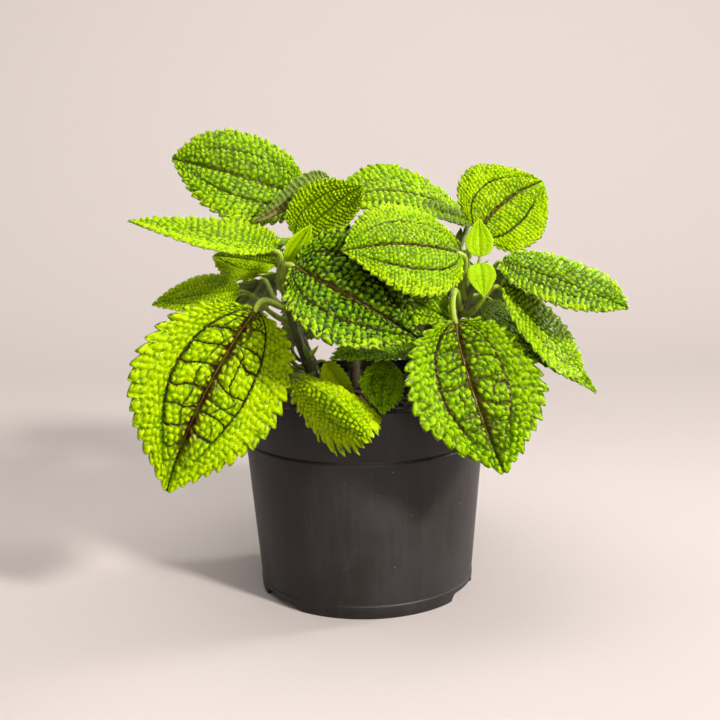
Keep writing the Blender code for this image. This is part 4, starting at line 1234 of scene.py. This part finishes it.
def stain_mask(hand, dome, ladder, ragged):
    """How stained a place is by the veins next to it, and where the tan line of the midrib is.

    ragged multiplies each distance, so that a vein's edges wander. Rungs widen towards the midrib.
    """
    inside, beside, along = hand.attribute("veins")[:3]
    rung, between, strength = hand.attribute("rungs")[:3]
    inner = hand.ease(beside, 0.12, -0.06)
    taper = hand.scaled(hand.ease(along, 0.6, 1.0), 2.0, 1.0)
    midrib = stripe(hand, hand.times(inside, ragged, taper), MIDRIB_STAIN)
    lateral = stripe(hand, hand.times(beside, ragged), LATERAL_STAIN)
    lateral = hand.times(lateral, hand.ease(along, 0.9, 0.6))
    flare = hand.scaled(hand.ease(inside, 1.5, 0.3), -0.5, 1.0)
    off_rung = hand.times(hand.math("PINGPONG", rung, 0.5), ROWS_PER_RUNG, flare, ragged)
    rungs = hand.times(stripe(hand, off_rung, RUNG_STAIN), inner, ladder, hand.ease(along, 0.95, 0.7))
    panels = stripe(hand, hand.times(between, ragged), PANEL_STAIN)
    panels = hand.times(panels, inner, strength, hand.ease(along, 0.85, 0.55), 0.9)
    valley = hand.math("SUBTRACT", 1.0, dome)
    seep = hand.times(hand.ease(inside, SEEP_REACH, 0.2), hand.ease(valley, 0.12, 0.5), ladder)
    seep = hand.times(seep, hand.ease(along, 0.95, 0.7))
    mask = hand.math("MAXIMUM", midrib, lateral)
    for part in (rungs, panels, seep):
        mask = hand.math("MAXIMUM", mask, part)
    tan = hand.times(stripe(hand, inside, TAN_WIDTH), hand.ease(along, 0.75, 0.4), ladder)
    return mask, tan


def leaf_upper():
    """The upper side's material: greens by age and height on the bump, then margin, stains and wax."""
    made, hand = new_material("leaf_upper")
    dome, ladder, share = hand.attribute("net")[:3]
    tone, stain, rim = hand.attribute("age")[:3]
    broad = hand.mottle(260, 0.3, 0.7)
    medium = hand.mottle(900, 0.3, 0.7)
    fine = hand.mottle(2200, 0.25, 0.75)
    # From valley to top: the bump's own height, with noise of two sizes and more light near the rim.
    # The dark valley end is partly the leaf's own deep green and partly painted shade.
    bright = hand.scaled(hand.math("SUBTRACT", broad, 0.5), 0.3, dome)
    bright = hand.scaled(hand.math("SUBTRACT", medium, 0.5), 0.3, bright)
    bright = hand.scaled(hand.ease(share, 0.5, 0.8), 0.1, bright)
    bright = hand.ease(bright, 0.1, hand.scaled(tone, 0.5, 0.7))
    young = hand.mix(bright, VALLEY_LIME_AND_SHADE, TOP_LIME)
    old = hand.mix(bright, VALLEY_OLD_AND_SHADE, TOP_OLD)
    # Old leaves take the darker greens, and so do leaves in the shade of others, where it is painted
    # shade.
    colour = hand.mix(tone, young, old)
    # The margin turns yellow, and the points of the teeth brown.
    yellow = hand.times(hand.ease(share, 0.74, 0.95), rim, hand.ease(bright, 0.2, 0.7))
    colour = hand.mix(yellow, colour, EDGE_YELLOW)
    tips = hand.times(hand.ease(share, 0.965, 1.0), rim, hand.ease(broad, 0.3, 0.7), 0.8)
    colour = hand.mix(tips, colour, TOOTH_BROWN)
    # The veins' stain, whose edges wander, and the tan line of the midrib.
    ragged = hand.scaled(medium, 1.1, 0.55)
    mask, tan = stain_mask(hand, dome, ladder, ragged)
    mask = hand.times(mask, stain, hand.scaled(broad, 0.25, 0.85))
    colour = hand.mix(hand.math("MINIMUM", mask, 1.0), colour, STAIN)
    colour = hand.mix(hand.times(tan, 0.7), colour, MIDRIB_TAN)
    # A waxy skin with pimples, which give the small sharp glints.
    rough = hand.scaled(medium, 0.1, 0.12)
    rough = hand.scaled(tone, 0.03, rough)
    pimples = hand.math("SUBTRACT", 1.0, hand.pimples(850))
    relief = hand.scaled(fine, 0.1, hand.scaled(pimples, 0.35, dome))
    normal = hand.bump(relief, 0.00035, 0.8)
    finish(hand, {
        "Base Color": colour, "Roughness": rough, "Normal": normal, "Subsurface Weight": 0.2,
        "Subsurface Radius": LEAF_GLOW, "Subsurface Scale": 0.001, "IOR": 1.2,
        "Specular Tint": (*GLINT_TINT, 1)})
    return made


upper_finish = leaf_upper()
print("upper side nodes:", len(upper_finish.node_tree.nodes))

# %% Lower side and stalk finish
UNDER_GREEN, UNDER_VEIN = (0.072, 0.127, 0.008), (0.136, 0.169, 0.022)
STALK_GREEN, STALK_BROWN = (0.139, 0.2, 0.006), (0.068, 0.03, 0.008)
# STEM_FOOT is the dark brown of painted shade low down on stalks and stems.
STEM_FOOT = (0.023, 0.014, 0.006)
STALK_GLOW = (0.6, 1.0, 0.2)
# The heights in metres between which a stalk or stem goes from green to dark brown, painted shade
# low down under the leaves.
STALK_LIT, STALK_DARK = 0.135, 0.1


def leaf_lower():
    """The lower side's material: olive, with every vein and rung a paler line."""
    made, hand = new_material("leaf_lower")
    dome = hand.attribute("net")[0]
    inside, beside = hand.attribute("veins")[:2]
    stain = hand.attribute("age")[1]
    net = hand.times(hand.ease(dome, 0.75, 0.2), 0.7)
    veins = hand.math("MAXIMUM", stripe(hand, inside, 0.3), stripe(hand, beside, 0.2))
    lines = hand.math("MAXIMUM", net, veins)
    colour = hand.mix(hand.mottle(300, 0.3, 0.7), UNDER_GREEN, shaded(UNDER_GREEN, 0.7))
    colour = hand.mix(lines, colour, UNDER_VEIN)
    brown = hand.math("MAXIMUM", veins, hand.times(hand.ease(inside, 3.5, 0.5), 0.7))
    colour = hand.mix(hand.times(brown, stain, 0.8), colour, STALK_BROWN)
    normal = hand.bump(hand.scaled(hand.mottle(1500), 0.4, lines), 0.00015, 0.6)
    finish(hand, {
        "Base Color": colour, "Roughness": 0.6, "Normal": normal, "Subsurface Weight": 0.22,
        "Subsurface Radius": LEAF_GLOW, "Subsurface Scale": 0.0012, "IOR": 1.35})
    return made


def stalk_finish(name, green, brown, low):
    """A stalk's or stem's material: green with brown streaks along it, and painted shade low down."""
    made, hand = new_material(name)
    streaks = hand.mottle(420, low, low + 0.3, (1, 1, 0.35))
    fine = hand.mottle(1800, 0.3, 0.7)
    colour = hand.mix(streaks, green, brown)
    colour = hand.mix(hand.times(fine, 0.3), colour, shaded(green, 1.5))
    place = hand.node("ShaderNodeTexCoord").outputs["Object"]
    height = hand.node("ShaderNodeSeparateXYZ", {"Vector": place}).outputs["Z"]
    # Painted shade: low down under the leaves the colour goes dark brown.
    low_shade = hand.times(hand.ease(height, STALK_LIT, STALK_DARK), 0.9)
    colour = hand.mix(low_shade, colour, STEM_FOOT)
    finish(hand, {
        "Base Color": colour, "Roughness": 0.55, "Normal": hand.bump(fine, 0.0001, 0.6),
        "Subsurface Weight": 0.15, "Subsurface Radius": STALK_GLOW, "Subsurface Scale": 0.001,
        "IOR": 1.35})
    return made


lower_finish = leaf_lower()
stalk_green = stalk_finish("stalk", STALK_GREEN, STALK_BROWN, 0.5)
print("finishes:", len(bpy.data.materials))

# %% [markdown]
# ## Leaves
# Each leaf is two grids, an upper and a lower side, that meet at the toothed margin, and a stalk
# that runs on as the ridge under the midrib. The lower side is seen less and has half the columns.

# %% Tubes and curves


def bezier(start, lead, trail, end, count):
    """Points along a cubic curve: it leaves start towards lead and reaches end from trail."""
    t = np.linspace(0, 1, count)[:, None]
    ends = (1 - t) ** 3 * np.asarray(start) + t**3 * np.asarray(end)
    return ends + 3 * (1 - t) ** 2 * t * np.asarray(lead) + 3 * (1 - t) * t**2 * np.asarray(trail)


def tube(path, radii, sides, sideways):
    """A ring of points round each point of a path, as rows by sides by 3.

    The ring's first point lies towards `sideways`, made square to the path there.
    """
    tangent = unit(np.gradient(path, axis=0))
    side = unit(sideways - tangent * (tangent @ sideways)[:, None])
    other = np.cross(tangent, side)
    angle = np.arange(sides) * 2 * math.pi / sides
    ring = side[:, None] * np.cos(angle)[:, None] + other[:, None] * np.sin(angle)[:, None]
    return path[:, None] + ring * np.asarray(radii)[:, None, None]


def stem_path(spec, count=7):
    """Points up a stem: straight up out of its hole, then leaning out to its tip."""
    x, y = spec["foot"]
    low = np.array([(x, y, STEM_SEAT), (x, y, SOIL_LEVEL + SOIL_MOUND + 3)])
    start = low[1] + (0, 0, 1)
    return np.vstack([low, bezier(start, start + (0, 0, 8), spec["lean"], spec["tip"], count)])


def stem_point(spec, up):
    """The place, direction and radius at a share of the way from the soil to the tip."""
    path = stem_path(spec)[2:]
    t = np.linspace(0, 1, len(path))
    place = np.array([np.interp(up, t, path[:, k]) for k in range(3)])
    before = np.array([np.interp(up - 0.01, t, path[:, k]) for k in range(3)])
    return place, unit(place - before), STEM_FOOT_RADIUS + (STEM_TIP_RADIUS - STEM_FOOT_RADIUS) * up


print("stem heights in mm:", sorted({spec["tip"][2] for spec in STEMS.values()}))

# %% One leaf
STALK_LEAST = 0.5
STALK_SHARE = 0.014
STALK_DROP = 0.6
STALK_SINK = 0.3
STALK_SIDES = 10
STALK_BEND_ROWS = 14
RIDGE_ROWS = 9
CUTS_LEAST = 6
STEP_NEAR, STEP_FAR = 0.29, 0.56


def joined(marks):
    """The marks of several grids as one."""
    return {key: np.concatenate([part[key] for part in marks]) for key in marks[0]}


def two_sides(blade, teeth, cuts, columns, seed, age, ladder=0, bite=1, swell=1):
    """The points, faces and marks of both sides, with the upper and the lower grid."""
    points, faces, marks, grids = [], [], [], []
    for under in (False, True):
        plan = leaf_plan(blade, teeth, cuts, columns // 2 if under else columns, seed, bite)
        lift, read = leaf_relief(blade, plan, teeth, seed, ladder, swell, under)
        grid = blade.at(plan[0], plan[1], lift)
        read["age"] = np.broadcast_to(age, grid.shape)
        start = sum(len(part) for part in points)
        points.append(grid.reshape(-1, 3))
        faces.append(grid_faces(*grid.shape[:2], start=start, flip=under))
        marks.append({key: value.reshape(-1, 3) for key, value in read.items()})
        grids.append(grid)
    return np.concatenate(points), faces, joined(marks), grids


def stalk_rings(spec, blade, upper, lower):
    """The stalk: off the stem, along a bend to the blade, then tapering out under the midrib.

    Under the blade it follows the middle of the lower side, sunk so far that only a ridge shows.
    """
    place, along, radius = stem_point(STEMS[spec["stem"]], spec["up"])
    out = np.array(spec.get("by", blade.base), float) - place
    out = unit(out - along * along.dot(out))
    root = place + out * (radius - STALK_SINK)
    start = root + out * 1.6
    reach = np.linalg.norm(blade.base - start)
    into = blade.tangent[0]
    lead = np.array(spec.get("by", start + (out + along * 0.4) * reach * 0.4), float)
    end = blade.base - blade.normal * STALK_DROP
    bend = bezier(start, lead, end - into * reach * 0.3, end, STALK_BEND_ROWS)
    thick = STALK_LEAST + STALK_SHARE * spec["width"]
    rows = (np.linspace(0.06, 0.45, RIDGE_ROWS) * (len(lower) - 1)).astype(int)
    low = lower[rows, lower.shape[1] // 2]
    down = unit(low - upper[rows, upper.shape[1] // 2])
    thin = np.linspace(0.8, 0.25, RIDGE_ROWS) * thick
    under = low + down * np.clip(thin - 0.35, 0.1, None)[:, None]
    path = np.vstack([root, root + out * 0.4, bend, under, under[-1:] + into * 0.2])
    root_radii = np.array((0, 1.35)) * thick
    bend_radii = np.linspace(1.2, 0.95, STALK_BEND_ROWS) * thick
    radii = np.concatenate([root_radii, bend_radii, thin, (0,)])
    return tube(path, radii, STALK_SIDES, blade.across)


def leaf_piece(name, spec):
    """One leaf in place of its solid. It also hands back the grids that hairs grow on."""
    keys = ("base", "tip", "face", "width", "arch", "fold", "cup", "sweep", "widest", "point")
    blade = Blade(**{key: spec[key] for key in keys if key in spec})
    spec = {**PLAIN_LEAF, **spec}
    step = STEP_NEAR if spec["near"] else STEP_FAR
    step = step * (BUMP_SHARE * spec["width"] + BUMP_LEAST) * math.sqrt(spec["swell"])
    columns = 2 * max(4, round(spec["width"] / 4 / step))
    _, margin_x, margin_y = margin(blade)
    edge_run = np.hypot(np.diff(margin_x), np.diff(margin_y)).sum()
    cuts = max(CUTS_LEAST, round(edge_run / spec["teeth"] / step))
    seed = list(LEAVES).index(name)
    age = (spec["tone"], spec["stain"], spec["rim"])
    points, faces, marks, (upper, lower) = two_sides(
        blade, spec["teeth"], cuts, columns, seed, age, spec["ladder"], spec["bite"], spec["swell"])
    rings = stalk_rings(spec, blade, upper, lower)
    stalk = grid_faces(*rings.shape[:2], start=len(points), around=True, flip=True)
    picks = np.concatenate([np.full(len(part), k) for k, part in enumerate([*faces, stalk])])
    marks = {key: np.vstack([value, np.zeros((rings.size // 3, 3))]) for key, value in marks.items()}
    points = np.vstack([points, rings.reshape(-1, 3)])
    finishes = [upper_finish, lower_finish, stalk_green]
    made = new_piece(name + "_skin", points, [*faces, stalk], finishes, picks, marks)
    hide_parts(name)
    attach(made, "root")
    return made, upper, rings


leaf_grids, stalk_grids, leaf_total = {}, {}, 0
for name, spec in LEAVES.items():
    made, leaf_grids[name], stalk_grids[name] = leaf_piece(name, spec)
    leaf_total += triangles(made)
print("leaf triangles:", leaf_total)

# %% [markdown]
# ## Stems
# A stem is fleshy and a little swollen where leaves leave it, green with a brown flush, and ends in
# a pair of leaves that haven't opened. It is a tube on the same bent path as the solid, and the
# smallest leaves are the same sheets as the large ones.

# %% Stem pieces
STEM_SIDES = 20
STEM_ROWS = 72
JOINT_SPACING = 15.0
STEM_GREEN, STEM_BROWN = (0.047, 0.064, 0.008), (0.047, 0.022, 0.008)
BUD_TEETH = 7
BUD_COLUMNS = 10
BUD_AGE = (0.1, 0, 0)

stem_skin = stalk_finish("stem", STEM_GREEN, STEM_BROWN, 0.42)


def stem_rings(spec):
    """A tube up the stem's path, with a swelling at each joint and a rounded tip."""
    path = stem_path(spec, 25)
    run = np.concatenate([(0,), np.cumsum(np.linalg.norm(np.diff(path, axis=0), axis=1))])
    at = np.linspace(0, run[-1], STEM_ROWS)
    path = np.stack([np.interp(at, run, path[:, k]) for k in range(3)], 1)
    taper = np.interp(at, (0, run[2], run[-1]), (STEM_FOOT_RADIUS, STEM_FOOT_RADIUS, STEM_TIP_RADIUS))
    joint = np.abs((run[-1] - at + JOINT_SPACING / 2) % JOINT_SPACING - JOINT_SPACING / 2)
    radii = taper * (0.9 + 0.16 * groove(joint, 1.8)) * np.sqrt(np.clip((run[-1] - at) / 1.2, 0, 1))
    radii[0] = 0
    return tube(path, radii, STEM_SIDES, np.array((1.0, 0, 0)))


def stem_piece(name, spec):
    """One stem with the buds at its tip, in place of its solid."""
    rings = stem_rings(spec)
    points, faces = [rings.reshape(-1, 3)], [grid_faces(*rings.shape[:2], around=True, flip=True)]
    marks = [{key: np.zeros((len(points[0]), 3)) for key in ("net", "veins", "rungs", "age")}]
    picks = [np.zeros(len(faces[0]))]
    start = len(points[0])
    grids = []
    for k, (turn, rise, length, width) in enumerate(spec["buds"]):
        turn, rise = math.radians(turn), math.radians(rise)
        level = math.cos(rise)
        out = np.array((math.sin(turn) * level, -math.cos(turn) * level, math.sin(rise)))
        base = np.array(spec["tip"]) + out * 0.6 - (0, 0, 1.2)
        inward = (-out[0], -out[1], 0.8)
        blade = Blade(base, base + out * (length + 1), inward, width, arch=-30, fold=30, cup=20)
        bud_points, bud_faces, bud_marks, (upper, _) = two_sides(
            blade, BUD_TEETH, CUTS_LEAST, BUD_COLUMNS, k, BUD_AGE)
        points.append(bud_points)
        faces += [part + start for part in bud_faces]
        marks.append(bud_marks)
        picks += [np.full(len(part), 1 + side) for side, part in enumerate(bud_faces)]
        start += len(bud_points)
        grids.append(upper)
    made = new_piece(
        name + "_skin", np.concatenate(points), faces, [stem_skin, upper_finish, lower_finish],
        np.concatenate(picks), joined(marks))
    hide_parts(name)
    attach(made, "root")
    return made, rings, grids


stem_grids, bud_grids, stem_total = {}, [], 0
for name, spec in STEMS.items():
    made, stem_grids[name], grids = stem_piece(name, spec)
    bud_grids += grids
    stem_total += triangles(made)
print("stem triangles:", stem_total)

# %% [markdown]
# ## Hairs
# Stems, stalks and leaf margins carry short pale hairs, which draw a bright fuzz along every
# outline. Hair curves would be lost when the model is exported, so each hair is a thin spike of
# four triangles, and all of them are worked out at once from random places on the grids.

# %% Hair roots
# Hairs for each square millimetre of stem, stalk and blade, and for each millimetre of margin.
HAIR_ROUND_STEM = 1.1
HAIR_ROUND_STALK = 0.7
HAIR_ON_LEAF = 0.05
HAIR_ON_MARGIN = 0.9


def places_on(grid, count, rows, columns, wrap):
    """Random places between the points of a grid, with the grid's outward normal at each.

    rows and columns are the shares of the grid to use, and the normal is the cross product of the
    grid's two edge directions there. It also hands back the direction along the rows.
    """
    if wrap:
        grid = np.concatenate([grid, grid[:, :1]], axis=1)
    # A little less than the last row and column, so that a next one is always there.
    r = draw.uniform(rows[0], rows[1], count) * (grid.shape[0] - 1.001)
    c = draw.uniform(columns[0], columns[1], count) * (grid.shape[1] - 1.001)
    i, j = r.astype(int), c.astype(int)
    a, b = (r - i)[:, None], (c - j)[:, None]
    near = grid[i, j] * (1 - b) + grid[i, j + 1] * b
    far = grid[i + 1, j] * (1 - b) + grid[i + 1, j + 1] * b
    along, across = far - near, grid[i, j + 1] - grid[i, j]
    normal = np.cross(along, across)
    keep = np.linalg.norm(normal, axis=1) > 1e-6
    place = near * (1 - a) + far * a
    return place[keep], unit(normal[keep]), unit(along[keep] + 1e-9)


def size_of(grid):
    """A grid's area in square millimetres and its length along the last column."""
    along, across = np.diff(grid, axis=0)[:, :-1], np.diff(grid, axis=1)[:-1]
    area = np.linalg.norm(np.cross(along, across), axis=-1).sum()
    return area, np.linalg.norm(np.diff(grid[:, -1], axis=0), axis=1).sum()


def shaft_hairs(grid, density):
    """Hairs that stand off a tube, as roots and vectors."""
    area, _ = size_of(grid)
    place, normal, along = places_on(grid, int(area * density), (0.08, 0.97), (0, 1), True)
    way = -normal + 0.25 * along + draw.normal(0, 0.3, normal.shape)
    return place, unit(way) * draw.uniform(0.6, 1.7, len(way))[:, None]


def blade_hairs(grid):
    """Short hairs on the upper side that lean forward, and a fringe that points out of the margin."""
    area, run = size_of(grid)
    place, normal, along = places_on(grid, int(area * HAIR_ON_LEAF), (0.05, 0.95), (0.03, 0.97), False)
    way = normal + 0.5 * along + draw.normal(0, 0.3, normal.shape)
    roots, ways = [place], [unit(way) * draw.uniform(0.4, 1.0, len(way))[:, None]]
    for columns, side in (((0.0, 0.02), -1), ((0.98, 1.0), 1)):
        place, normal, along = places_on(grid, int(run * HAIR_ON_MARGIN), (0.03, 0.99), columns, False)
        outward = -side * np.cross(normal, along)
        way = outward + 0.6 * along + draw.normal(0, 0.35, normal.shape)
        roots.append(place)
        ways.append(unit(way) * draw.uniform(0.4, 1.1, len(way))[:, None])
    return np.concatenate(roots), np.concatenate(ways)


def gathered(parts):
    """Several (roots, vectors) pairs as one."""
    return tuple(np.concatenate(column) for column in zip(*parts))


stem_fuzz = gathered([shaft_hairs(grid, HAIR_ROUND_STEM) for grid in stem_grids.values()])
leaf_fuzz = gathered(
    [shaft_hairs(grid, HAIR_ROUND_STALK) for grid in stalk_grids.values()]
    + [blade_hairs(grid) for grid in [*leaf_grids.values(), *bud_grids]])
print("hairs:", len(stem_fuzz[0]) + len(leaf_fuzz[0]))

# %% Hair pieces
HAIR_COLOUR = (0.233, 0.254, 0.051)
HAIR_THICKNESS = 0.045


def spikes(roots, vectors, thickness):
    """Points and faces of one three-sided spike for each root: a small triangle and a point."""
    way = unit(vectors)
    helper = np.where(np.abs(way[:, 2:]) < 0.9, (0.0, 0.0, 1.0), (1.0, 0.0, 0.0))
    side = unit(np.cross(way, helper))
    other = np.cross(way, side)
    angle = np.arange(3) * 2 * math.pi / 3
    ring = side[:, None] * np.cos(angle)[:, None] + other[:, None] * np.sin(angle)[:, None]
    base = roots[:, None] + ring * thickness - 0.1 * way[:, None]
    points = np.concatenate([base, (roots + vectors)[:, None]], axis=1)
    faces = np.array([(0, 2, 1), (0, 1, 3), (1, 2, 3), (2, 0, 3)])
    faces = faces[None] + 4 * np.arange(len(roots))[:, None, None]
    return points.reshape(-1, 3), faces.reshape(-1, 3)


hair_finish, hand = new_material("hairs")
colour = hand.mix(hand.mottle(400, 0.3, 0.7), HAIR_COLOUR, shaded(HAIR_COLOUR, 0.7))
finish(hand, {"Base Color": colour, "Roughness": 0.4})
for name, fuzz, slot in (("stem_hairs", stem_fuzz, "stem"), ("leaf_hairs", leaf_fuzz, "leaf")):
    points, faces = spikes(*fuzz, HAIR_THICKNESS)
    hairs = new_piece(name, points, [faces], [hair_finish])
    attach(hairs, "root")
    print(name, "triangles:", triangles(hairs))

# %% [markdown]
# ## Size
# The dressed plant keeps the solids' size. The spans of both boxes are printed side by side.

# %% Size and finish
size = {
    "cad": [list(corner) for corner in cad_box],
    "visual": [list(corner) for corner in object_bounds()],
}
spans = {key: np.ptp(np.array(box), axis=0) / MM for key, box in size.items()}
print("size in mm, solids and dressed:", {key: span.round(1).tolist() for key, span in spans.items()})
